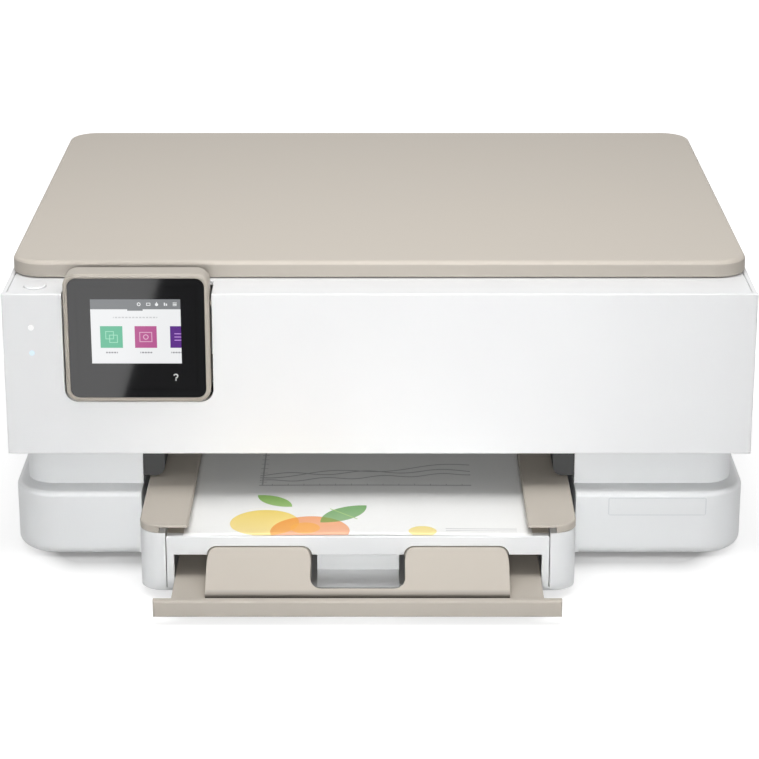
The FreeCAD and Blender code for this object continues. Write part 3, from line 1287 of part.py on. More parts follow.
def pinch_frame():
    """The sprung plate on the rear beam that presses the pinch rollers to the feed roller."""
    holder = Piece("pinch_frame")
    bottom = pinch_z + sizes.pinch_radius + sizes.plate_room
    height = (bottom, bottom + sizes.plate_thickness)
    width = around(middle, sizes.plate_width)
    holder.add("XY", width, (sizes.feed_y - sizes.plate_front, beam_face), height)
    flange = (beam_face - sizes.plate_thickness, beam_face)
    holder.add("XY", width, flange, (bottom, bottom + sizes.plate_flange))
    axle_fingers(holder, (sizes.feed_y, pinch_z), bottom + sizes.merge)


def star_bridge():
    """The bridge between the side plates that holds the star wheels over the output roller."""
    holder = Piece("star_bridge")
    bottom = star_z + sizes.star_radius + sizes.plate_room
    depth = around(output_y, sizes.bridge_depth)
    holder.add("XY", (-frame_inner, frame_inner), depth, (bottom, bottom + sizes.bridge_height))
    axle_fingers(holder, (output_y, star_z), bottom + sizes.merge)


def carriage_rod():
    """The steel rod that the carriage slides on."""
    rod = Piece("carriage_rod")
    rod.add_round("YZ", (sizes.rod_y, sizes.rod_z), sizes.rod_radius, (-frame_outer, frame_outer))


def front_rail():
    """The bent steel rail under the carriage's front."""
    rail = Piece("front_rail")
    width = (-frame_inner, frame_inner)
    back = sizes.rail_y + sizes.rail_thickness
    rail.add("XY", width, (sizes.rail_y, back), (sizes.rail_z, sizes.rail_z + sizes.rail_height))
    foot = (sizes.rail_y - sizes.rail_flange, back)
    rail.add("XY", width, foot, (sizes.rail_z, sizes.rail_z + sizes.rail_thickness))


def drive_belt():
    """The closed belt that pulls the carriage."""
    belt = Piece("drive_belt")
    depth = around(sizes.belt_y, sizes.belt_width)
    through = (depth[0] - past, depth[1] + past)
    for radius, make, span in ((belt_outer, belt.add, depth), (belt_inner, belt.cut, through)):
        width = around(0, (pulley_x + radius) * 2)
        height = around(sizes.belt_z, radius * 2)
        make("XZ", width, height, span, radius - sizes.belt_round)


def motor_pulley():
    """The carriage motor's pulley on its shaft."""
    pulley = Piece("motor_pulley")
    centre = (pulley_x, sizes.belt_z)
    width = around(sizes.belt_y, sizes.belt_width + sizes.pulley_flange * 2)
    pulley.add_round("XZ", centre, sizes.pulley_radius, width)
    shaft = (width[1] - sizes.merge, sizes.motor_front + sizes.shaft_grip)
    pulley.add_round("XZ", centre, sizes.pulley_shaft, shaft)


def idler_pulley():
    """The free pulley at the belt's other end."""
    pulley = Piece("idler_pulley")
    centre = (-pulley_x, sizes.belt_z)
    width = around(sizes.belt_y, sizes.belt_width + sizes.pulley_flange * 2)
    through = (width[0] - past, width[1] + past)
    pulley.add_round("XZ", centre, sizes.pulley_radius, width)
    pulley.cut_round("XZ", centre, sizes.pulley_shaft + sizes.pin_fit, through)


def carriage_motor():
    """The round motor on the rear beam that drives the belt."""
    motor = Piece("carriage_motor")
    centre = (pulley_x, sizes.belt_z)
    motor.add_round("XZ", centre, sizes.motor_radius, (sizes.motor_front, beam_face))
    bore = (sizes.motor_front - past, sizes.motor_front + sizes.shaft_grip + past)
    motor.cut_round("XZ", centre, sizes.pulley_shaft + sizes.pin_fit, bore)


def feed_motor():
    """The round motor inside the left side plate that drives the feed gears."""
    motor = Piece("feed_motor")
    centre = (drive_y, sizes.roller_z)
    motor.add_round("YZ", centre, sizes.motor_radius, (-frame_inner, -frame_inner + sizes.feed_motor_length))
    bore = (-frame_inner - past, -frame_inner + sizes.shaft_grip + past)
    motor.cut_round("YZ", centre, sizes.pulley_shaft + sizes.pin_fit, bore)


def motor_shaft():
    """The feed motor's shaft, which carries the drive pinion."""
    shaft = Piece("motor_shaft")
    span = (gear_span[0], -frame_inner + sizes.shaft_grip)
    shaft.add_round("YZ", (drive_y, sizes.roller_z), sizes.pulley_shaft, span)


def encoder_strip():
    """The clear strip behind the carriage that its sensor reads."""
    strip = Piece("encoder_strip")
    front = sizes.carriage_rear + sizes.strip_gap
    height = (sizes.strip_bottom, sizes.strip_bottom + sizes.strip_height)
    strip.add("XY", (-frame_inner, frame_inner), (front, front + sizes.strip_thickness), height)


def service_station():
    """The parking place on the platen's right end, with a rubber cap under each print head."""
    station = Piece("service_station")
    bottom = sizes.platen_top - sizes.platen_rib
    top = bottom + sizes.station_height
    depth = (sizes.platen_front, sizes.platen_rear)
    station.add("XY", (frame_inner - sizes.station_width, frame_inner), depth, (bottom, top))
    for side in (-1, 1):
        cap = around(carriage_x + sizes.pocket_offset * side, sizes.cap_width)
        cap_depth = around(print_head[0] + sizes.snout_depth / 2, sizes.cap_depth)
        station.add("XY", cap, cap_depth, (top - sizes.merge, top + sizes.cap_height), sizes.cap_corner)


# Carriage.

pocket_front = sizes.carriage_front + sizes.pocket_setback
cartridge_front = pocket_front + sizes.cartridge_fit
cartridge_bottom = sizes.carriage_bottom + sizes.pocket_floor
head_front = cartridge_front + sizes.snout_setback
print_head = (head_front, head_front + sizes.snout_depth)


def carriage():
    """The carriage: pockets for two cartridges, a bore on the rod, a hook and a belt clamp."""
    body = Piece("carriage")
    width = around(carriage_x, sizes.carriage_width)
    depth = (sizes.carriage_front, sizes.carriage_rear)
    body.add("XY", width, depth, (sizes.carriage_bottom, sizes.carriage_top))
    fit = sizes.cartridge_fit
    pocket_depth = (pocket_front, cartridge_front + sizes.cartridge_depth + fit)
    for side in (-1, 1):
        x = carriage_x + sizes.pocket_offset * side
        pocket = around(x, sizes.cartridge_width + fit * 2)
        body.cut("XY", pocket, pocket_depth, (cartridge_bottom, sizes.carriage_top + past))
        slot = around(x, sizes.snout_width + fit * 2)
        slot_depth = (print_head[0] - fit, print_head[1] + fit)
        body.cut("XY", slot, slot_depth, (sizes.carriage_bottom - past, cartridge_bottom + past))
    bore = (width[0] - past, width[1] + past)
    body.cut_round("YZ", (sizes.rod_y, sizes.rod_z), sizes.rod_radius + sizes.pin_fit, bore)
    hook = (sizes.rail_y - sizes.hook_lap, sizes.carriage_front + sizes.merge)
    hook_bottom = sizes.rail_z + sizes.rail_height + gap
    hook_height = (hook_bottom, hook_bottom + sizes.hook_thickness)
    body.add("XY", around(carriage_x, sizes.hook_width), hook, hook_height)
    clamp_bottom = sizes.belt_z - belt_inner + gap
    clamp_depth = (sizes.carriage_rear - sizes.merge, sizes.belt_y + sizes.belt_width / 2)
    clamp = around(carriage_x, sizes.clamp_width)
    body.add("XY", clamp, clamp_depth, (clamp_bottom, clamp_bottom + sizes.clamp_height))


def cartridge(label, side):
    """An ink cartridge standing in its pocket, with its print head below."""
    tank = Piece(label)
    x = carriage_x + sizes.pocket_offset * side
    depth = (cartridge_front, cartridge_front + sizes.cartridge_depth)
    tank.add("XY", around(x, sizes.cartridge_width), depth, (cartridge_bottom, sizes.cartridge_top))
    tank.soften(sizes.cartridge_edge, flat_at("Z", sizes.cartridge_top))
    snout_height = (sizes.snout_bottom, cartridge_bottom + sizes.merge)
    tank.add("XY", around(x, sizes.snout_width), print_head, snout_height)


# Paper pick-up.

def pick_arm():
    """The swinging arm that carries the pick roller, on a shaft between the side plates."""
    arm = Piece("pick_arm")
    pivot = (sizes.pick_axis_y, sizes.pick_axis_z)
    wheel = (sizes.pick_roller_y, sizes.pick_roller_z)
    arm.add_round("YZ", pivot, sizes.shaft_radius, (-frame_outer, frame_outer))
    half = sizes.arm_half
    outline = [
        (pivot[0], pivot[1] - half),
        (wheel[0] + half, wheel[1] - half),
        (wheel[0] + half, wheel[1] + half),
        (pivot[0], pivot[1] + half),
    ]
    offset = sizes.pick_width / 2 + sizes.cheek_room + sizes.cheek_width / 2
    for side in (-1, 1):
        cheek = around(middle + offset * side, sizes.cheek_width)
        arm.add_shape("YZ", outline, cheek)
        arm.cut_round("YZ", wheel, sizes.pick_axle + sizes.pin_fit, (cheek[0] - past, cheek[1] + past))


def pick_roller():
    """The rubber roller that pulls the top sheet out of the tray."""
    roller = Piece("pick_roller")
    centre = (sizes.pick_roller_y, sizes.pick_roller_z)
    roller.add_round("YZ", centre, sizes.pick_radius, around(middle, sizes.pick_width))
    length = sizes.pick_width + (sizes.cheek_room + sizes.cheek_width) * 2
    roller.add_round("YZ", centre, sizes.pick_axle, around(middle, length))


# Electrical pieces.

def main_board():
    """The circuit board on its posts, with a processor and a capacitor."""
    board = Piece("main_board")
    width = (board_left, board_right)
    depth = (sizes.board_front, sizes.board_rear)
    board.add("XY", width, depth, (sizes.board_z, board_top))
    for x in (width[0] + sizes.standoff_inset, width[1] - sizes.standoff_inset):
        for y in (depth[0] + sizes.standoff_inset, depth[1] - sizes.standoff_inset):
            board.add_round("XY", (x, y), sizes.standoff_radius, (floor_top, sizes.board_z + sizes.merge))
    board_middle = (board_left + board_right) / 2
    chip = around(board_middle, sizes.chip_width)
    chip_depth = around(sizes.chip_y, sizes.chip_width)
    board.add("XY", chip, chip_depth, (board_top - sizes.merge, board_top + sizes.chip_height))
    can = (board_top - sizes.merge, board_top + sizes.coil_height)
    board.add_round("XY", (board_middle, sizes.coil_y), sizes.coil_radius, can)


def power_supply():
    """The closed mains power supply behind the left side plate."""
    supply = Piece("power_supply")
    width = (supply_left, bay[0] - sizes.wall - sizes.supply_gap)
    depth = (sizes.supply_front, sizes.supply_rear)
    supply.add("XY", width, depth, (floor_top, sizes.supply_top), sizes.supply_corner)


def power_inlet():
    """The mains inlet in the rear wall, with two contact pins; its cord is a separate thing."""
    inlet = Piece("power_inlet")
    fit = sizes.socket_fit
    rear = sizes.body_depth - sizes.socket_sunk
    width = (inlet_x[0] + fit, inlet_x[1] - fit)
    height = (inlet_z[0] + fit, inlet_z[1] - fit)
    inlet.add("XZ", width, height, (sizes.supply_rear, rear))
    inlet_middle = (sizes.inlet_bottom + sizes.inlet_top) / 2
    mouth = around(inlet_middle_x, sizes.inlet_mouth_width)
    mouth_height = around(inlet_middle, sizes.inlet_mouth_height)
    bottom = rear - sizes.socket_depth
    inlet.cut("XZ", mouth, mouth_height, (bottom, rear + past), sizes.inlet_mouth_corner)
    for side in (-1, 1):
        centre = (inlet_middle_x + sizes.inlet_pin_spread / 2 * side, inlet_middle)
        inlet.add_round("XZ", centre, sizes.inlet_pin_radius, (bottom - sizes.merge, rear - past))


def usb_port():
    """The data socket on the main board's rear edge."""
    port = Piece("usb_port")
    rear = sizes.body_depth - sizes.socket_sunk
    width = around(usb_middle_x, sizes.usb_width)
    height = (board_top, board_top + sizes.usb_height)
    port.add("XZ", width, height, (rear - sizes.usb_length, rear))
    centre_z = board_top + sizes.usb_height / 2
    mouth = around(usb_middle_x, sizes.usb_mouth_width)
    bottom = rear - sizes.socket_depth
    port.cut("XZ", mouth, around(centre_z, sizes.usb_mouth_height), (bottom, rear + past))
    tongue = around(usb_middle_x, sizes.usb_mouth_width / 2)
    port.add("XZ", tongue, around(centre_z, sizes.usb_tongue), (bottom - sizes.merge, rear - past))


base_tub()
upper_case()
access_hinge_pins()
rubber_feet()
bay_guides()
tray_pan()
tray_frame()
output_deck()
paper_sheet()
extender()
width_guide("width_guide_left", -1)
width_guide("width_guide_right", 1)
guide_centre = (middle, sizes.stud_y)
guide_bore = sizes.stud_radius + sizes.pin_fit
guide_span = (rack_bottom, rack_top)
gear("guide_pinion", guide_teeth, sizes.rack_module, "XY", guide_centre, guide_bore, guide_span, 90)
length_guide()
engine_frame()
platen()
feed_roller()
feed_centre = (sizes.feed_y, sizes.roller_z)
gear("feed_gear", feed_teeth, sizes.gear_module, "YZ", feed_centre, shaft_hole, gear_span, 0)
idler_centre = (idler_y, sizes.roller_z)
half_pitch = 180 / idler_teeth
gear("idler_gear", idler_teeth, sizes.gear_module, "YZ", idler_centre, shaft_hole, gear_span, half_pitch)
output_roller()
output_centre = (output_y, sizes.roller_z)
gear("output_gear", feed_teeth, sizes.gear_module, "YZ", output_centre, shaft_hole, gear_span, 0)
feed_motor()
motor_shaft()
drive_centre = (drive_y, sizes.roller_z)
half_pitch = 180 / pinion_teeth
drive_bore = sizes.pulley_shaft + sizes.pin_fit
gear("motor_pinion", pinion_teeth, sizes.gear_module, "YZ", drive_centre, drive_bore, gear_span, half_pitch)
small_rollers("pinch_rollers", (sizes.feed_y, pinch_z), sizes.pinch_radius, sizes.pinch_width)
pinch_frame()
small_rollers("star_wheels", (output_y, star_z), sizes.star_radius, sizes.star_width)
star_bridge()
pick_arm()
pick_roller()
carriage_rod()
front_rail()
drive_belt()
motor_pulley()
idler_pulley()
carriage_motor()
encoder_strip()
service_station()
carriage()
cartridge("black_cartridge", -1)
cartridge("colour_cartridge", 1)
main_board()
power_supply()
power_inlet()
usb_port()
front_fascia()
status_lights()
scanner_housing()
scanner_deck()
scanner_glass()
scan_rod()
scan_bar()
power_button()
lid_shell()
lid_pad()
lid_hinge_pins()
touch_bezel()
touch_glass()
doc.recompute()

failed = [item.Name for item in doc.Objects if "Invalid" in item.State or "Error" in item.State]
broken = [piece.Label for piece in pieces if piece.Shape.isNull() or not piece.Shape.isValid()]
if failed or broken:
    raise SystemExit(f"not built: {failed} {broken}")

os.makedirs("parts", exist_ok=True)
for piece in pieces:
    piece.Shape.exportStep(f"parts/{piece.Label}.step")
    box = piece.Shape.optimalBoundingBox(False, False)
    print(f"{piece.Label}: {len(piece.Shape.Solids)} solids, {piece.Shape.Volume:.0f} mm3,", end=" ")
    print(f"x {box.XMin:.1f} to {box.XMax:.1f}, y {box.YMin:.1f} to {box.YMax:.1f},", end=" ")
    print(f"z {box.ZMin:.1f} to {box.ZMax:.1f}")
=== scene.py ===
import bmesh
import bpy
import math
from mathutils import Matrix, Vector


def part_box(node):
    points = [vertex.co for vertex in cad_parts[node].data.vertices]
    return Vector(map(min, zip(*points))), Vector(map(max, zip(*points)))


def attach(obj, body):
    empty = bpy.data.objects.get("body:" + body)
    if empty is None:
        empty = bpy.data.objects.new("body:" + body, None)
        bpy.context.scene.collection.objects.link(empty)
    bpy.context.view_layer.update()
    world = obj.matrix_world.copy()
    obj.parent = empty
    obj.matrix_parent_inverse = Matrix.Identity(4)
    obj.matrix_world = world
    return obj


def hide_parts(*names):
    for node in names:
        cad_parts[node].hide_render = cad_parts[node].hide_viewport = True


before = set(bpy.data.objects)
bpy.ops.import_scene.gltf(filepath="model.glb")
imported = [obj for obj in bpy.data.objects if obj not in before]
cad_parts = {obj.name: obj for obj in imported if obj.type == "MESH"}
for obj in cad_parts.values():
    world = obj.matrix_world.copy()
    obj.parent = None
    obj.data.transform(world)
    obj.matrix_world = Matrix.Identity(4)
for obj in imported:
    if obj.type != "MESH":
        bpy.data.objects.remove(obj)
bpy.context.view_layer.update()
scene = bpy.context.scene
scene.view_settings.view_transform = "Standard"


# The printer is seen from in front and above through a long lens, so its sides hardly show.
# Its middle is in line with the camera, and the view falls by nineteen degrees.
view_fall = 19
camera = bpy.data.objects.new("camera", bpy.data.cameras.new("camera"))
camera.data.sensor_width = 36
camera.data.lens = 119.6
camera.location = (0, -1.6033, 0.6223)
camera.rotation_euler = (math.radians(90 - view_fall), 0, 0)
scene.collection.objects.link(camera)
scene.camera = camera


# The floor is a pale paper sweep that keeps the real soft shadow under the base and the tray. What the camera
# and the reflections see of it grows to plain white with the distance from the base, so the floor is painted
# darker near the base, with a painted contact shadow darkest close round the base's foot.
class Shade:
    """A socket of a material's nodes: operators add Math nodes, and node() adds any other."""

    def __init__(self, tree, socket=None):
        self.tree = tree
        self.socket = socket

    def node(self, kind, settings, sockets, output=0):
        made = self.tree.nodes.new(kind)
        for name, value in settings.items():
            setattr(made, name, value)
        for name, value in sockets.items():
            if isinstance(value, Shade):
                self.tree.links.new(value.socket, made.inputs[name])
            else:
                made.inputs[name].default_value = value
        return Shade(self.tree, made.outputs[output] if made.outputs else None)

    def maths(self, operation, first, second=0.0):
        return self.node("ShaderNodeMath", {"operation": operation}, {0: first, 1: second})

    def __add__(self, other):
        return self.maths("ADD", self, other)

    __radd__ = __add__

    def __sub__(self, other):
        return self.maths("SUBTRACT", self, other)

    def __rsub__(self, other):
        return self.maths("SUBTRACT", other, self)

    def __mul__(self, other):
        return self.maths("MULTIPLY", self, other)

    __rmul__ = __mul__

    def __abs__(self):
        return self.maths("ABSOLUTE", self)

    def __lt__(self, other):
        return self.maths("LESS_THAN", self, other)

    def __gt__(self, other):
        return self.maths("GREATER_THAN", self, other)

    def __mod__(self, other):
        return self.maths("FLOORED_MODULO", self, other)


def larger(value, other):
    return value.maths("MAXIMUM", value, other)


def smaller(value, other):
    return value.maths("MINIMUM", value, other)


def ramp(value, start, length):
    """Rises from nothing at the start to one at the end of a length."""
    return smaller(larger((value - start) * (1 / length), 0.0), 1.0)


def measure(nodes, axis):
    """How far a point of the piece lies along x, y or z, in metres."""
    place = nodes.node("ShaderNodeTexCoord", {}, {}, "Object")
    return nodes.node("ShaderNodeSeparateXYZ", {}, {"Vector": place}, axis)


def seen_white(nodes):
    """One where the camera, a reflection or a look through glass sees the surface."""
    straight = nodes.node("ShaderNodeLightPath", {}, {}, "Is Camera Ray")
    mirrored = nodes.node("ShaderNodeLightPath", {}, {}, "Is Glossy Ray")
    through = nodes.node("ShaderNodeLightPath", {}, {}, "Is Transmission Ray")
    return larger(larger(straight, mirrored), through)


def emptied(holder):
    """The nodes of a material or a world, with its first ones cleared away."""
    holder.use_nodes = True
    holder.node_tree.nodes.clear()
    return Shade(holder.node_tree)


def laid_flat(name, corners, height, material):
    mesh = bpy.data.meshes.new(name)
    mesh.from_pydata([(x, y, height) for x, y in corners], [], [(0, 1, 2, 3)])
    mesh.materials.append(material)
    flat = bpy.data.objects.new(name, mesh)
    scene.collection.objects.link(flat)
    return flat


paper_grey = (0.42, 0.42, 0.42, 1)
sweep = bpy.data.materials.new("pale_sweep")
sweep_nodes = emptied(sweep)
sweep_paper = sweep_nodes.node("ShaderNodeBsdfDiffuse", {}, {"Color": paper_grey})
sweep_white = sweep_nodes.node("ShaderNodeEmission", {}, {"Strength": 1.0})
sweep_lit = sweep_nodes.node("ShaderNodeAddShader", {}, {0: sweep_paper, 1: sweep_white})
base_low, base_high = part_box("base_tub")
base_middle = (base_low.y + base_high.y) / 2
base_half = (base_high.y - base_low.y) / 2
corner, side_pull = 0.028, 1.6
beside = larger((abs(measure(sweep_nodes, 0)) - (base_high.x - corner * side_pull)) * side_pull, 0.0)
before = larger(abs(measure(sweep_nodes, 1) - base_middle) - (base_half - corner), 0.0)
away = beside.maths("SQRT", beside * beside + before * before) - corner
shadow_start, shadow_length, shadow_depth = 0.007, 0.045, 0.5
clear_start, clear_length, near_white, far_white = 0.06, 0.2, 0.68, 0.34
# Painted contact shadow: close round the base's foot the white share drops, so the floor is darker there.
under_base = 1 - ramp(away, shadow_start, shadow_length)
shadow = under_base * under_base * under_base * shadow_depth
clearing = ramp(away, clear_start, clear_length) * far_white
sweep_share = (clearing - shadow + near_white) * seen_white(sweep_nodes)
sweep_mix = sweep_nodes.node("ShaderNodeMixShader", {}, {0: sweep_share, 1: sweep_paper, 2: sweep_lit})
sweep_nodes.node("ShaderNodeOutputMaterial", {}, {"Surface": sweep_mix})
reach = 6
floor = laid_flat("floor", ((-reach, -reach), (reach, -reach), (reach, reach), (-reach, reach)), 0, sweep)


# The light is a white room with a lamp over the printer's front edge, a broad one before it, a narrow one
# that falls on the middle of the front panel, and weak ones at the sides, so that the shadows stay soft.
world = bpy.data.worlds.new("white_room")
scene.world = world
room = emptied(world)
room_level = 0.32
room_strength = seen_white(room) * (1 - room_level) + room_level
room_white = room.node("ShaderNodeBackground", {}, {"Color": (1, 1, 1, 1), "Strength": room_strength})
room.node("ShaderNodeOutputWorld", {}, {"Surface": room_white})
for lamp_name, place, aim, size, spread, watts in (
    ("top_lamp", (0, -0.27, 1.05), (0, -0.2, 0.15), (1.2, 0.45), 180, 6.6),
    ("front_lamp", (0, -2.2, 0.2), (0, -0.1, 0.1), (1.3, 0.3), 180, 3.2),
    ("panel_lamp", (0, -2.2, 0.6), (0, -0.1, 0.13), (0.45, 0.45), 26, 0.68),
    ("left_lamp", (-1.8, -0.6, 0.8), (0, -0.1, 0.1), (0.9, 0.9), 180, 1.5),
    ("right_lamp", (1.8, -0.6, 0.8), (0, -0.1, 0.1), (0.9, 0.9), 180, 1.5),
):
    lamp = bpy.data.objects.new(lamp_name, bpy.data.lights.new(lamp_name, "AREA"))
    lamp.data.shape = "RECTANGLE"
    lamp.data.size, lamp.data.size_y = size
    lamp.data.spread = math.radians(spread)
    lamp.data.energy = watts
    lamp.location = place
    lamp.rotation_euler = (Vector(aim) - Vector(place)).to_track_quat("-Z", "Y").to_euler()
    scene.collection.objects.link(lamp)


# A dark card lies on the floor before the printer, out of the picture. Only reflections see it, and its
# left edge makes the slanting border of the bright reflection on the touch panel's glass.
card_black = bpy.data.materials.new("card_black")
card_nodes = emptied(card_black)
card_face = card_nodes.node("ShaderNodeBsdfDiffuse", {}, {"Color": (0.01, 0.01, 0.01, 1)})
card_nodes.node("ShaderNodeOutputMaterial", {}, {"Surface": card_face})
card_height = 0.001
card_corners = ((-0.187, -1.2), (0.15, -1.2), (0.15, -0.43), (-0.19, -0.43))
dark_card = laid_flat("dark_card", card_corners, card_height, card_black)
dark_card.visible_camera = False
dark_card.visible_diffuse = False
dark_card.visible_transmission = False
dark_card.visible_shadow = False


# Casing: the base, its band, the scanner unit's panel, housing and deck, the tray and its front are
# moulded in white with a fine eroded grain. The grain is finest on the front panel, which is smooth.
def finish(name):
    material = bpy.data.materials.new(name)
    material.use_nodes = True
    return material, Shade(material.node_tree), material.node_tree.nodes["Principled BSDF"]


def feed(shader, **values):
    """Set a finish's sockets: a number or colour is set, and what changes over the surface is linked."""
    for name, value in values.items():
        socket = shader.inputs[name.replace("_", " ")]
        if isinstance(value, Shade):
            value.tree.links.new(value.socket, socket)
        else:
            socket.default_value = value


def noise(nodes, scale, detail):
    place = nodes.node("ShaderNodeTexCoord", {}, {}, "Object")
    return nodes.node("ShaderNodeTexNoise", {}, {"Vector": place, "Scale": scale, "Detail": detail})


def blended(nodes, share, under, over):
    """A colour between two, each of them three numbers or what another node gives."""
    under, over = [end if isinstance(end, Shade) else (*end, 1) for end in (under, over)]
    return nodes.node("ShaderNodeMix", {"data_type": "RGBA"}, {0: share, 6: under, 7: over}, 2)


def bumped(nodes, height, strength, distance, **more):
    sockets = {"Height": height, "Strength": strength, "Distance": distance, **more}
    return nodes.node("ShaderNodeBump", {}, sockets)


def moulded(name, colour, rough, grain=0.00035, depth=0.00001, soft_edge=0.0005, cloud=0.03):
    """Moulded plastic: an eroded grain, soft edges and slow changes of tone and gloss."""
    material, nodes, shader = finish(name)
    slow = noise(nodes, 14.0, 3.0)
    fine = noise(nodes, 1 / grain, 2.0)
    darker = [part * (1 - cloud) for part in colour]
    lighter = [min(1, part * (1 + cloud / 2)) for part in colour]
    edge = nodes.node("ShaderNodeBevel", {"samples": 4}, {"Radius": soft_edge})
    feed(shader, Base_Color=blended(nodes, slow, darker, lighter),
         Roughness=slow * 0.12 + fine * 0.06 + (rough - 0.09),
         Normal=bumped(nodes, fine, 0.35, depth, Normal=edge))
    return material


def dress(material, *names):
    for name in names:
        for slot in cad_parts[name].material_slots:
            slot.material = material


casing_white = moulded("casing_white", (0.80, 0.81, 0.815), 0.48)
dress(casing_white, "base_tub", "upper_case", "tray_pan", "tray_frame", "scanner_housing")
panel_white = moulded("panel_white", (0.84, 0.845, 0.85), 0.4, grain=0.0002, depth=0.000004)
dress(panel_white, "front_fascia", "scanner_deck", "power_button")


# Trim: the lid, the touch panel's case, the output deck and the extender are moulded in a warm taupe
# with a slightly coarser grain than the white casing. The lid's upright rim is coloured darker than its top
# as painted shade, and the output deck and the extender take a darker copy of the taupe as painted shade.
def marked(material, mask, colour):
    """Lay a second colour over a finished material where the mask is one."""
    shader = material.node_tree.nodes["Principled BSDF"]
    tone = Shade(material.node_tree, shader.inputs["Base Color"].links[0].from_socket)
    feed(shader, Base_Color=blended(mask, mask, tone, colour))


taupe = moulded("taupe_trim", (0.545, 0.497, 0.435), 0.55, grain=0.0004, depth=0.000014)
# Painted shade: the lid's upright faces get a darker colour than its top, for the shade on its front rim.
lid_nodes = Shade(taupe.node_tree)
lid_facing = lid_nodes.node("ShaderNodeTexCoord", {}, {}, "Normal")
lid_rim_shade = abs(lid_nodes.node("ShaderNodeSeparateXYZ", {}, {"Vector": lid_facing}, 2)) < 0.3
marked(taupe, lid_rim_shade, (0.4, 0.365, 0.32))
dress(taupe, "lid_shell")
# Painted shade: the output deck and the extender get a darker copy of the lid's taupe, for the shade they lie
# in.
shaded_tray_tone = (0.48, 0.438, 0.383)
shaded_tray_taupe = moulded("shaded_tray_taupe", shaded_tray_tone, 0.6, grain=0.0004, depth=0.000014)
dress(shaded_tray_taupe, "output_deck", "extender")
case_taupe = moulded("case_taupe", (0.44, 0.40, 0.345), 0.45, grain=0.0004, depth=0.000008)
dress(case_taupe, "touch_bezel")


# Dark inner mouldings: the blocks in the bay's corners, the platen, the frames of the print engine, the
# scan bar, the supply's case and the power inlet. They are moulded in filled plastic with a dull face.
dull_black = moulded("dull_black", (0.045, 0.046, 0.046), 0.62, grain=0.0005, depth=0.00002, cloud=0.2)
dress(dull_black, "bay_guides", "platen", "pinch_frame", "star_bridge", "service_station", "pick_arm",
      "power_inlet", "power_supply", "scan_bar")
engine_grey = moulded("engine_grey", (0.16, 0.165, 0.17), 0.5, grain=0.0005, depth=0.00002, cloud=0.12)
dress(engine_grey, "engine_frame", "carriage")


# Small working parts: the gears, pulleys and pinch rollers are moulded in slippery natural acetal, which
# is faintly cream and has a waxy gloss. The paper guides are moulded in grey plastic.
acetal = moulded("acetal", (0.62, 0.61, 0.57), 0.36, grain=0.0006, depth=0.000004, soft_edge=0.0002)
dress(acetal, "feed_gear", "idler_gear", "output_gear", "motor_pinion", "guide_pinion", "motor_pulley",
      "idler_pulley", "pinch_rollers")
guide_grey = moulded("guide_grey", (0.34, 0.335, 0.32), 0.5)
dress(guide_grey, "width_guide_left", "width_guide_right", "length_guide")


# Cartridges: a black and a dark grey ink tank, moulded in plastic with glossy tops. They are pressed into
# the carriage from above and pulled out when they are empty.
black_tank = moulded("black_tank", (0.018, 0.018, 0.02), 0.3, grain=0.0008, depth=0.000006)
dress(black_tank, "black_cartridge")
colour_tank = moulded("colour_tank", (0.075, 0.08, 0.09), 0.3, grain=0.0008, depth=0.000006)
dress(colour_tank, "colour_cartridge")


# Rubber: feet, roller tyres and the pick roller are ground rubber with fine rings from the wheel.
# The belt is the same rubber with its teeth across it.
def zigzag(value, pitch):
    """Falls from one to nothing and rises again, once in every pitch."""
    return abs((value % pitch) * (2 / pitch) - 1)


def rubber(name, colour, ring, ring_axis):
    """Ground rubber: rings at a pitch along one axis, over a fine dusty grain."""
    material, nodes, shader = finish(name)
    grain = noise(nodes, 900.0, 3.0)
    rings = zigzag(measure(nodes, ring_axis), ring)
    dusty = [part * 1.9 for part in colour]
    feed(shader, Base_Color=blended(nodes, grain * 0.6, colour, dusty), Roughness=grain * 0.2 + 0.65,
         Normal=bumped(nodes, rings * 0.7 + grain * 0.5, 0.4, 0.00008))
    return material


tyre_rubber = rubber("tyre_rubber", (0.03, 0.03, 0.032), 0.0009, 0)
dress(tyre_rubber, "feed_roller", "output_roller", "pick_roller")
foot_rubber = rubber("foot_rubber", (0.06, 0.06, 0.062), 0.0016, 1)
dress(foot_rubber, "rubber_feet")
belt_rubber = rubber("belt_rubber", (0.02, 0.02, 0.02), 0.002, 0)
dress(belt_rubber, "drive_belt")


# Steel: rods, pins and star wheels are ground bright, with fine lines along them. The rail, the motors'
# cans and the socket's shell are drawn or folded from duller sheet.
def ground_steel(name, colour, rough, stretch):
    """Steel with fine streaks, which are longest along the axis with the smallest stretch."""
    material, nodes, shader = finish(name)
    place = nodes.node("ShaderNodeTexCoord", {}, {}, "Object")
    lines = nodes.node("ShaderNodeMapping", {}, {"Vector": place, "Scale": stretch})
    streak = nodes.node("ShaderNodeTexNoise", {}, {"Vector": lines, "Scale": 60.0, "Detail": 4.0})
    dark = [part * 0.8 for part in colour]
    feed(shader, Base_Color=blended(nodes, streak, dark, colour), Metallic=1.0,
         Roughness=streak * 0.2 + (rough - 0.1), Normal=bumped(nodes, streak, 0.2, 0.00002))
    return material


rod_steel = ground_steel("rod_steel", (0.66, 0.66, 0.67), 0.22, (1, 30, 30))
dress(rod_steel, "carriage_rod", "scan_rod", "access_hinge_pins", "lid_hinge_pins", "motor_shaft",
      "star_wheels")
can_steel = ground_steel("can_steel", (0.52, 0.53, 0.54), 0.36, (4, 4, 30))
dress(can_steel, "front_rail", "carriage_motor", "feed_motor", "usb_port")


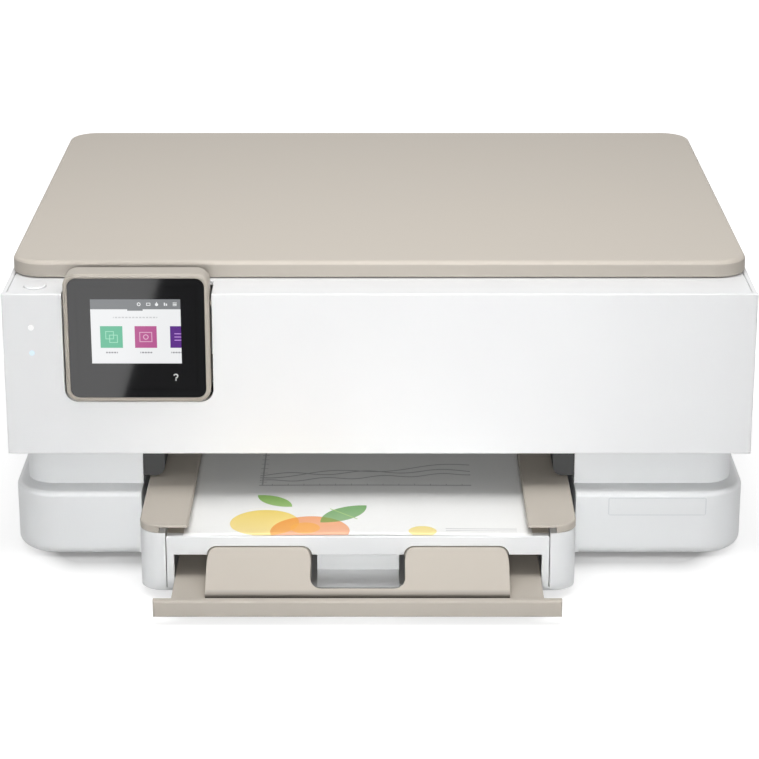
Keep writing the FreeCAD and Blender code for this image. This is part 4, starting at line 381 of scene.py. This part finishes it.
# Main board: a sheet of glass-filled resin that lies flat beside the engine. Green solder mask is printed
# over its copper tracks, and the tracks just show through.
board, board_nodes, board_shader = finish("circuit_board")
board_place = board_nodes.node("ShaderNodeTexCoord", {}, {}, "Object")
board_greens = {"Color1": (0.008, 0.09, 0.03, 1), "Color2": (0.012, 0.12, 0.045, 1),
                "Mortar": (0.04, 0.26, 0.1, 1)}
tracks = board_nodes.node("ShaderNodeTexBrick", {"offset": 0.37},
                          {"Vector": board_place, "Scale": 190.0, "Mortar Size": 0.03, **board_greens})
track_height = Shade(board_nodes.tree, tracks.socket.node.outputs["Fac"])
feed(board_shader, Base_Color=tracks, Roughness=track_height * 0.15 + 0.35,
     Normal=bumped(board_nodes, track_height, 0.4, 0.00004))
dress(board, "main_board")


# Encoder strip: a band of clear film stretched along the carriage's path. A fine row of lines is printed
# on it, and the carriage's sensor counts them.
line_pitch = 0.0006
film, film_nodes, film_shader = finish("encoder_film")
film_line = (measure(film_nodes, 0) % line_pitch) < line_pitch / 2
film_tone = blended(film_nodes, film_line, (0.7, 0.72, 0.72), (0.05, 0.05, 0.05))
feed(film_shader, Base_Color=film_tone, Roughness=0.12)
dress(film, "encoder_strip")


# Scanner glass: a pane of clear float glass over the scan bar, set in the deck's window. It is faintly
# green, and a little dust lies on it.
clear, clear_nodes, clear_shader = finish("scanner_glass")
specks = (noise(clear_nodes, 300.0, 5.0) > 0.66) * 0.12
feed(clear_shader, Base_Color=(0.86, 0.93, 0.9, 1), Roughness=specks + 0.02, Alpha=specks + 0.24, IOR=1.52)
dress(clear, "scanner_glass")


# Lid pad: a soft white film over foam, stuck under the lid, that presses the page flat on the glass.
# The film has a faint woven emboss.
weave = 0.003
pad, pad_nodes, pad_shader = finish("lid_pad_film")
emboss = zigzag(measure(pad_nodes, 0), weave) * zigzag(measure(pad_nodes, 1), weave)
pad_cloud = noise(pad_nodes, 30.0, 3.0)
feed(pad_shader, Base_Color=blended(pad_nodes, pad_cloud, (0.8, 0.8, 0.79), (0.86, 0.86, 0.86)),
     Roughness=pad_cloud * 0.1 + 0.55, Normal=bumped(pad_nodes, emboss, 0.3, 0.0002))
dress(pad, "lid_pad")


# Status lights: moulded light guides, set flush with the front panel and lit from behind. The upper one
# glows white and the lower one pale blue.
between_lights = 0.144
guides, guides_nodes, guides_shader = finish("light_guides")
guides_upper = measure(guides_nodes, 2) > between_lights
guides_glow = blended(guides_nodes, guides_upper, (0.76, 0.88, 0.94), (1, 1, 1))
feed(guides_shader, Base_Color=guides_glow, Roughness=0.25, Emission_Color=guides_glow,
     Emission_Strength=0.15)
dress(guides, "status_lights")


# Cover glass of the touch panel: a pane printed black from behind, with a polished front, that is stuck
# into the case. A fine darker line runs round its face, and fingers have left a faint smear.
def past_edge(nodes, x_span, z_span, inset):
    """How far a point of a front face lies outside a box that is inset from two spans."""
    past = [abs(measure(nodes, axis) - (low + high) / 2) - ((high - low) / 2 - inset)
            for axis, (low, high) in ((0, x_span), (2, z_span))]
    return larger(past[0], past[1])


line_inset, line_half = 0.0052, 0.00022
cover, cover_nodes, cover_shader = finish("cover_glass")
cover_low, cover_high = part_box("touch_glass")
cover_spans = (cover_low.x, cover_high.x), (cover_low.z, cover_high.z)
cover_line = abs(past_edge(cover_nodes, *cover_spans, line_inset)) < line_half
smear = noise(cover_nodes, 45.0, 4.0)
cover_tone = blended(cover_nodes, cover_line, (0.013, 0.013, 0.014), (0.002, 0.002, 0.002))
feed(cover_shader, Base_Color=cover_tone, Roughness=smear * 0.05 + 0.03, Specular_IOR_Level=0.9)
dress(cover, "touch_glass")


# Screen: the colour display under the cover glass, lit, with a grey bar of small marks along its top,
# a line for the date and three coloured tiles with plain line drawings and a stroke under each.
def mounted(name, build, material, body):
    """Make a finished mesh a piece that moves with a body."""
    mesh = bpy.data.meshes.new(name)
    build.to_mesh(mesh)
    build.free()
    mesh.materials.append(material)
    piece = bpy.data.objects.new(name, mesh)
    scene.collection.objects.link(piece)
    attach(piece, body)


screen_x, screen_z, screen_thick = (-0.17535, -0.12065), (0.1304, 0.1713), 0.0001
millimetres = 1000
screen, screen_nodes, screen_shader = finish("screen_picture")
across = (measure(screen_nodes, 0) - screen_x[0]) * millimetres
upward = (measure(screen_nodes, 2) - screen_z[0]) * millimetres


def patch(middle_x, middle_z, half_x, half_z):
    return (abs(across - middle_x) < half_x) * (abs(upward - middle_z) < half_z)


def disc(middle_x, middle_z, radius):
    side, rise = across - middle_x, upward - middle_z
    return side * side + rise * rise < radius * radius


def frame_line(middle_x, middle_z, half_x, half_z, stroke):
    whole = patch(middle_x, middle_z, half_x, half_z)
    return whole - patch(middle_x, middle_z, half_x - stroke, half_z - stroke)


bar_grey, mark_grey, bar_foot = (0.22, 0.23, 0.24), (0.85, 0.86, 0.87), 34.6
picture = blended(screen_nodes, upward > bar_foot, (0.88, 0.89, 0.9), bar_grey)
picture = blended(screen_nodes, patch(27.1, 34.15, 4.7, 0.46), picture, bar_grey)
for mark in (
    disc(29.5, 37.8, 1.15) - disc(29.5, 37.8, 0.65),
    frame_line(35.3, 37.8, 1.25, 0.95, 0.4),
    disc(40.3, 37.6, 1.0) + patch(40.3, 39.0, 0.25, 0.3),
    patch(45.1, 37.8, 0.4, 1.0) + patch(46.3, 37.5, 0.4, 0.7),
    patch(51.3, 37.8, 1.2, 0.3) + patch(51.3, 38.7, 1.2, 0.2) + patch(51.3, 36.9, 1.2, 0.2),
):
    picture = blended(screen_nodes, mark, picture, mark_grey)
date_strokes = patch(27.1, 29.4, 13.5, 0.42) * ((across % 2.1) < 1.5)
picture = blended(screen_nodes, date_strokes, picture, (0.62, 0.63, 0.64))
tile_z, tile_half, name_z, name_half = 16.95, 6.95, 7.0, 3.6
for middle, half, colour, lines, drawing in (
    (12.3, 6.8, (0.141, 0.515, 0.327), (0.36, 0.75, 0.55),
     frame_line(11.2, 18.1, 2.6, 2.6, 0.5) + frame_line(13.5, 15.8, 2.6, 2.6, 0.5)),
    (33.2, 6.7, (0.485, 0.091, 0.283), (0.76, 0.42, 0.6),
     frame_line(33.2, tile_z, 3.9, 3.2, 0.5) + disc(33.2, tile_z, 1.7) - disc(33.2, tile_z, 1.1)),
    (52.0, 4.0, (0.102, 0.017, 0.242), (0.578, 0.305, 0.791),
     patch(53.0, 19.0, 2.4, 0.28) + patch(53.0, tile_z, 2.4, 0.28) + patch(53.0, 14.9, 2.4, 0.28)),
):
    picture = blended(screen_nodes, patch(middle, tile_z, half, tile_half), picture, colour)
    picture = blended(screen_nodes, smaller(drawing, 1.0), picture, lines)
    strokes = patch(middle, name_z, min(half, name_half), 0.45) * ((across % 1.7) < 1.25)
    picture = blended(screen_nodes, strokes, picture, (0.3, 0.3, 0.32))
feed(screen_shader, Base_Color=(0.02, 0.02, 0.02, 1), Roughness=0.12, Emission_Color=picture,
     Emission_Strength=0.95)
glass_front = cover_low.y
screen_spans = (screen_x, (glass_front - screen_thick, glass_front), screen_z)
screen_build = bmesh.new()
bmesh.ops.create_cube(screen_build, size=1)
for vertex in screen_build.verts:
    vertex.co = [(low + high) / 2 + part * (high - low) for part, (low, high) in zip(vertex.co, screen_spans)]
mounted("screen", screen_build, screen, "touch_panel")


# Help mark: a plain question mark, printed in white on the cover glass below the screen. Its hook is a
# ribbon along an arc and a short stem, with a round dot under it, all drawn here in millimetres.
def thickened(build, thick):
    """Give flat faces a thickness towards the front."""
    for grown in bmesh.ops.extrude_face_region(build, geom=build.faces[:])["geom"]:
        if isinstance(grown, bmesh.types.BMVert):
            grown.co.y -= thick
    bmesh.ops.recalc_face_normals(build, faces=build.faces)


mark_white = moulded("mark_white", (0.8, 0.8, 0.8), 0.4, depth=0.000002)
mark_x, mark_z, mark_thick = -0.1245, 0.1215, 0.08
hook_radius, hook_middle, half_stroke = 1.15, 0.75, 0.33
hook_start, hook_sweep, hook_steps = 172, 230, 14
dot_radius, dot_middle, dot_sides = 0.42, -1.8, 16
mark_path = []
for step in range(hook_steps + 1):
    angle = math.radians(hook_start - hook_sweep * step / hook_steps)
    mark_path.append(Vector((hook_radius * math.cos(angle), hook_middle + hook_radius * math.sin(angle))))
mark_path += [Vector((0.14, -0.45)), Vector((0.0, -0.65)), Vector((0.0, -0.9))]
mark_build = bmesh.new()
mark_sides = []
for step, point in enumerate(mark_path):
    ahead = mark_path[min(step + 1, len(mark_path) - 1)] - mark_path[max(step - 1, 0)]
    to_side = Vector((-ahead.y, ahead.x)).normalized() * half_stroke
    both_sides = (point + to_side, point - to_side)
    mark_sides.append([mark_build.verts.new((side.x, 0, side.y)) for side in both_sides])
for here, there in zip(mark_sides, mark_sides[1:]):
    mark_build.faces.new((here[0], here[1], there[1], there[0]))
dot_turns = [math.tau * step / dot_sides for step in range(dot_sides)]
dot_round = [(dot_radius * math.cos(turn), 0, dot_radius * math.sin(turn) + dot_middle) for turn in dot_turns]
mark_build.faces.new([mark_build.verts.new(point) for point in dot_round])
thickened(mark_build, mark_thick)
for vertex in mark_build.verts:
    vertex.co = vertex.co / millimetres + Vector((mark_x, glass_front, mark_z))
mounted("help_mark", mark_build, mark_white, "touch_panel")


# Groove shade: a thin dark strip laid in the groove between the extender's lip and its ramps, as painted
# shade for the shadowed gap there. It runs up the foot of the ramps and fades there into their taupe.
fade_start, fade_length = 0.0146, 0.0034
groove_shade_finish, strip_nodes, strip_shader = finish("painted_groove_shade")
groove_shade_fade = ramp(measure(strip_nodes, 2), fade_start, fade_length)
groove_shade_tone = blended(strip_nodes, groove_shade_fade, (0.05, 0.043, 0.035), shaded_tray_tone)
feed(strip_shader, Base_Color=groove_shade_tone, Roughness=0.6)
lip_depth, groove, strip_ends_x = 0.0045, 0.004, (-0.1033, 0.0773)
groove_floor, bend_inner, bend_outer, strip_thick = 0.0131, 0.01614, 0.01622, 0.0001
ramp_start, ramp_rise, strip_reach = 0.014, 0.535, 0.0072
lip_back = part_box("extender")[0].y + lip_depth
ramp_foot = lip_back + groove
strip_front = ramp_foot - strip_thick
strip_back = lip_back + strip_reach
strip_top = ramp_start + ramp_rise * strip_reach
strip_section = [
    (ramp_foot, groove_floor),
    (ramp_foot, bend_inner),
    (strip_back, strip_top),
    (strip_back - strip_thick / 2, strip_top + strip_thick),
    (strip_front, bend_outer),
    (strip_front, groove_floor),
]
strip_build = bmesh.new()
strip_ends = [[strip_build.verts.new((end_x, y, z)) for y, z in strip_section] for end_x in strip_ends_x]
left_end, right_end = strip_ends
for step in range(len(strip_section)):
    follow = (step + 1) % len(strip_section)
    strip_build.faces.new((left_end[step], left_end[follow], right_end[follow], right_end[step]))
for end in strip_ends:
    strip_build.faces.new((end[0], end[1], end[4], end[5]))
    strip_build.faces.new((end[1], end[2], end[3], end[4]))
bmesh.ops.recalc_face_normals(strip_build, faces=strip_build.faces)
mounted("painted_groove_shade", strip_build, groove_shade_finish, "extender")


# Printed sheet: a page of coated paper on the deck, its front edge on the tray's frame, a little curled.
# It carries a plain colour test: round and pointed patches in yellow, orange and green before a line chart.
sheet_low, sheet_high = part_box("paper_sheet")
frame_low, frame_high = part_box("tray_frame")
edge_inset, paper_thick, sheet_gap = 0.0006, 0.00018, 0.0001
crown_height, fold_start, fold_length = 0.0006, 0.004, 0.003
sheet_low.y = frame_low.y + edge_inset
columns, rows = 42, 30
sheet_mesh = bpy.data.meshes.new("printed_sheet")
sheet_build = bmesh.new()
grid = []
for row in range(rows + 1):
    line = []
    for column in range(columns + 1):
        u, v = column / columns, row / rows
        crown = crown_height * math.sin(math.pi * u) ** 2 * (0.55 + 0.45 * math.cos(math.pi * v))
        x = sheet_low.x + (sheet_high.x - sheet_low.x) * u
        y = sheet_low.y + (sheet_high.y - sheet_low.y) * v
        fold = min(1, max(0, (frame_high.y + fold_start - y) / fold_length))
        over_frame = fold * (frame_high.z - sheet_low.z)
        line.append(sheet_build.verts.new((x, y, sheet_low.z + sheet_gap + over_frame + crown)))
    grid.append(line)
for near, far in zip(grid, grid[1:]):
    for column in range(columns):
        sheet_build.faces.new((near[column], near[column + 1], far[column + 1], far[column]))
sheet_build.to_mesh(sheet_mesh)
sheet_build.free()
for face in sheet_mesh.polygons:
    face.use_smooth = True
page, page_nodes, page_shader = finish("printed_page")
page_x = (measure(page_nodes, 0) - sheet_low.x) * millimetres
page_y = (measure(page_nodes, 1) - sheet_low.y) * millimetres
sheet_depth = (sheet_high.y - sheet_low.y) * millimetres


def round_patch(middle_x, middle_y, radius):
    side, ahead = page_x - middle_x, page_y - middle_y
    return side * side + ahead * ahead < radius * radius


fibre = noise(page_nodes, 700.0, 4.0)
ink = blended(page_nodes, fibre, (0.865, 0.865, 0.85), (0.905, 0.905, 0.892))
cover_of_ink = page_y * 0.004 + 0.66
for shape, colour in (
    (round_patch(48, 20, 21), (0.86, 0.62, 0.03)),
    (round_patch(76, 6, 24), (0.85, 0.26, 0.02)),
    (round_patch(73, 11, 9), (0.9, 0.42, 0.06)),
    (round_patch(84, 46, 26) * round_patch(108, 22, 26), (0.10, 0.34, 0.05)),
    (round_patch(44, 46, 20) * round_patch(62, 66, 20), (0.24, 0.48, 0.07)),
    (round_patch(144, 6, 8.5), (0.86, 0.66, 0.05)),
):
    ink = blended(page_nodes, shape * cover_of_ink, ink, colour)
leaf_rib = (abs(page_x + page_y - 130) < 0.6) * round_patch(96, 34, 12)
ink = blended(page_nodes, leaf_rib, ink, (0.45, 0.62, 0.25))
note_lines = (page_x > 158) * (page_x < 201) * (page_y > 4) * (page_y < 13) * ((page_y % 3.4) < 0.8)
ink = blended(page_nodes, note_lines * 0.6, ink, (0.25, 0.25, 0.26))
chart_left, chart_right = 42, 176
chart_low, chart_high = sheet_depth * 0.53, sheet_depth * 0.97
upright_x, level_y, thin, thick, curve_half = chart_left + 2, chart_low + 1, 0.5, 0.8, 0.7
tick_x, tick_y, tick_length = 10, 8, 2.5
in_chart = (page_x > chart_left) * (page_x < chart_right) * (page_y > chart_low) * (page_y < chart_high)
chart_axes = (abs(page_x - upright_x) < thin) + (abs(page_y - level_y) < thick)
ticks_along = ((page_x % tick_x) < thin) * (page_y < level_y + tick_length)
ticks_up = ((page_y % tick_y) < thick) * (page_x < upright_x + tick_length)
chart_lines = chart_axes + ticks_along + ticks_up
for start, slope, swing, waves in (
    (0.06, 0.16, 3.4, 0.09),
    (0.11, 0.06, 2.6, 0.13),
    (0.025, 0.1, 2.0, 0.17),
):
    wave = page_x.maths("SINE", page_x * waves) * swing + page_x * slope + (chart_low + sheet_depth * start)
    chart_lines = chart_lines + (abs(page_y - wave) < curve_half)
ink = blended(page_nodes, smaller(chart_lines * in_chart, 1.0) * 0.55, ink, (0.22, 0.22, 0.23))
feed(page_shader, Base_Color=ink, Roughness=fibre * 0.15 + 0.42,
     Normal=bumped(page_nodes, fibre, 0.15, 0.00003))
sheet_mesh.materials.append(page)
printed_sheet = bpy.data.objects.new("printed_sheet", sheet_mesh)
scene.collection.objects.link(printed_sheet)


def made_plain(piece):
    """Turn what a piece's modifiers give into its own plain mesh, and take them off."""
    bpy.context.view_layer.update()
    shaped = piece.evaluated_get(bpy.context.evaluated_depsgraph_get())
    plain = bpy.data.meshes.new_from_object(shaped)
    piece.modifiers.clear()
    piece.data = plain


thickness = printed_sheet.modifiers.new("thickness", "SOLIDIFY")
thickness.thickness = paper_thick
thickness.offset = 1
made_plain(printed_sheet)
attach(printed_sheet, "tray")
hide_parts("paper_sheet")


# Front plate: a thin bare plate of pale film stuck on the base's front. Its corners are rounded, and a
# fine grey line runs round its edge.
plate_x, plate_z = (0.1428, 0.204), (0.029, 0.041)
plate_rim, plate_round, plate_thick, round_steps = 0.0006, 0.0015, 0.00035, 4
plate_film = moulded("plate_film", (0.79, 0.802, 0.805), 0.34, grain=0.0006, depth=0.000003,
                     soft_edge=0.0001)
plate_edge = past_edge(Shade(plate_film.node_tree), plate_x, plate_z, plate_rim) > 0
marked(plate_film, plate_edge, (0.66, 0.68, 0.69))
left, right = plate_x[0] + plate_round, plate_x[1] - plate_round
foot, head = plate_z[0] + plate_round, plate_z[1] - plate_round
plate_build = bmesh.new()
plate_outline = []
for turn, (middle_x, middle_z) in enumerate(((right, head), (left, head), (left, foot), (right, foot))):
    for step in range(round_steps + 1):
        angle = math.pi / 2 * (turn + step / round_steps)
        x, z = middle_x + plate_round * math.cos(angle), middle_z + plate_round * math.sin(angle)
        plate_outline.append(plate_build.verts.new((x, base_low.y, z)))
plate_build.faces.new(plate_outline)
thickened(plate_build, plate_thick)
mounted("front_plate", plate_build, plate_film, "base")


# Screws: the base's floor is held by a grid of cross-head steel screws. Their heads stand just below the
# floor, and each has a cross sunk into it for the driver.
screw_steel = ground_steel("screw_steel", (0.45, 0.45, 0.46), 0.35, (8, 8, 8))
screw_columns, screw_rows, pitch_x, pitch_y = 4, 3, 0.118, 0.135
screw_sizes = {
    "Columns": screw_columns,
    "Rows": screw_rows,
    "Width": pitch_x * (screw_columns - 1),
    "Depth": pitch_y * (screw_rows - 1),
    "Head radius": 0.0031,
    "Head height": 0.0009,
}
slot_length, slot_width, slot_height, slot_drop = 0.0034, 0.0008, 0.0012, 0.0006
head_sides, head_sink = 20, 0.0003
screw_tree = bpy.data.node_groups.new("base_screws", "GeometryNodeTree")
for label, value in screw_sizes.items():
    kind = "NodeSocketInt" if isinstance(value, int) else "NodeSocketFloat"
    screw_tree.interface.new_socket(label, in_out="INPUT", socket_type=kind)
screw_tree.interface.new_socket("Screws", in_out="OUTPUT", socket_type="NodeSocketGeometry")
given = screw_tree.nodes.new("NodeGroupInput")
raster = screw_tree.nodes.new("GeometryNodeMeshGrid")
screw_head = screw_tree.nodes.new("GeometryNodeMeshCylinder")
screw_head.inputs["Vertices"].default_value = head_sides
bar = screw_tree.nodes.new("GeometryNodeMeshCube")
bar.inputs["Size"].default_value = (slot_length, slot_width, slot_height)
crossbar = screw_tree.nodes.new("GeometryNodeMeshCube")
crossbar.inputs["Size"].default_value = (slot_width, slot_length, slot_height)
bars = screw_tree.nodes.new("GeometryNodeJoinGeometry")
sunk = screw_tree.nodes.new("GeometryNodeTransform")
sunk.inputs["Translation"].default_value = (0, 0, -slot_drop)
drive = screw_tree.nodes.new("GeometryNodeMeshBoolean")
drive.operation = "DIFFERENCE"
places = screw_tree.nodes.new("GeometryNodeInstanceOnPoints")
real = screw_tree.nodes.new("GeometryNodeRealizeInstances")
dressed = screw_tree.nodes.new("GeometryNodeSetMaterial")
dressed.inputs["Material"].default_value = screw_steel
result = screw_tree.nodes.new("NodeGroupOutput")
for source, given_by, target, taken_by in (
    (given, "Columns", raster, "Vertices X"),
    (given, "Rows", raster, "Vertices Y"),
    (given, "Width", raster, "Size X"),
    (given, "Depth", raster, "Size Y"),
    (given, "Head radius", screw_head, "Radius"),
    (given, "Head height", screw_head, "Depth"),
    (bar, "Mesh", bars, "Geometry"),
    (crossbar, "Mesh", bars, "Geometry"),
    (bars, "Geometry", sunk, "Geometry"),
    (screw_head, "Mesh", drive, "Mesh 1"),
    (sunk, "Geometry", drive, "Mesh 2"),
    (raster, "Mesh", places, "Points"),
    (drive, "Mesh", places, "Instance"),
    (places, "Instances", real, "Geometry"),
    (real, "Geometry", dressed, "Geometry"),
    (dressed, "Geometry", result, "Screws"),
):
    screw_tree.links.new(source.outputs[given_by], target.inputs[taken_by])
base_screws = bpy.data.objects.new("base_screws", bpy.data.meshes.new("base_screws"))
scene.collection.objects.link(base_screws)
screw_modifier = base_screws.modifiers.new("screws", "NODES")
screw_modifier.node_group = screw_tree
for item in screw_tree.interface.items_tree:
    if item.in_out == "INPUT":
        screw_modifier[item.identifier] = screw_sizes[item.name]
made_plain(base_screws)
grid_middle = Vector((0, 0.05, base_low.z - head_sink))
for vertex in base_screws.data.vertices:
    vertex.co += grid_middle
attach(base_screws, "base")
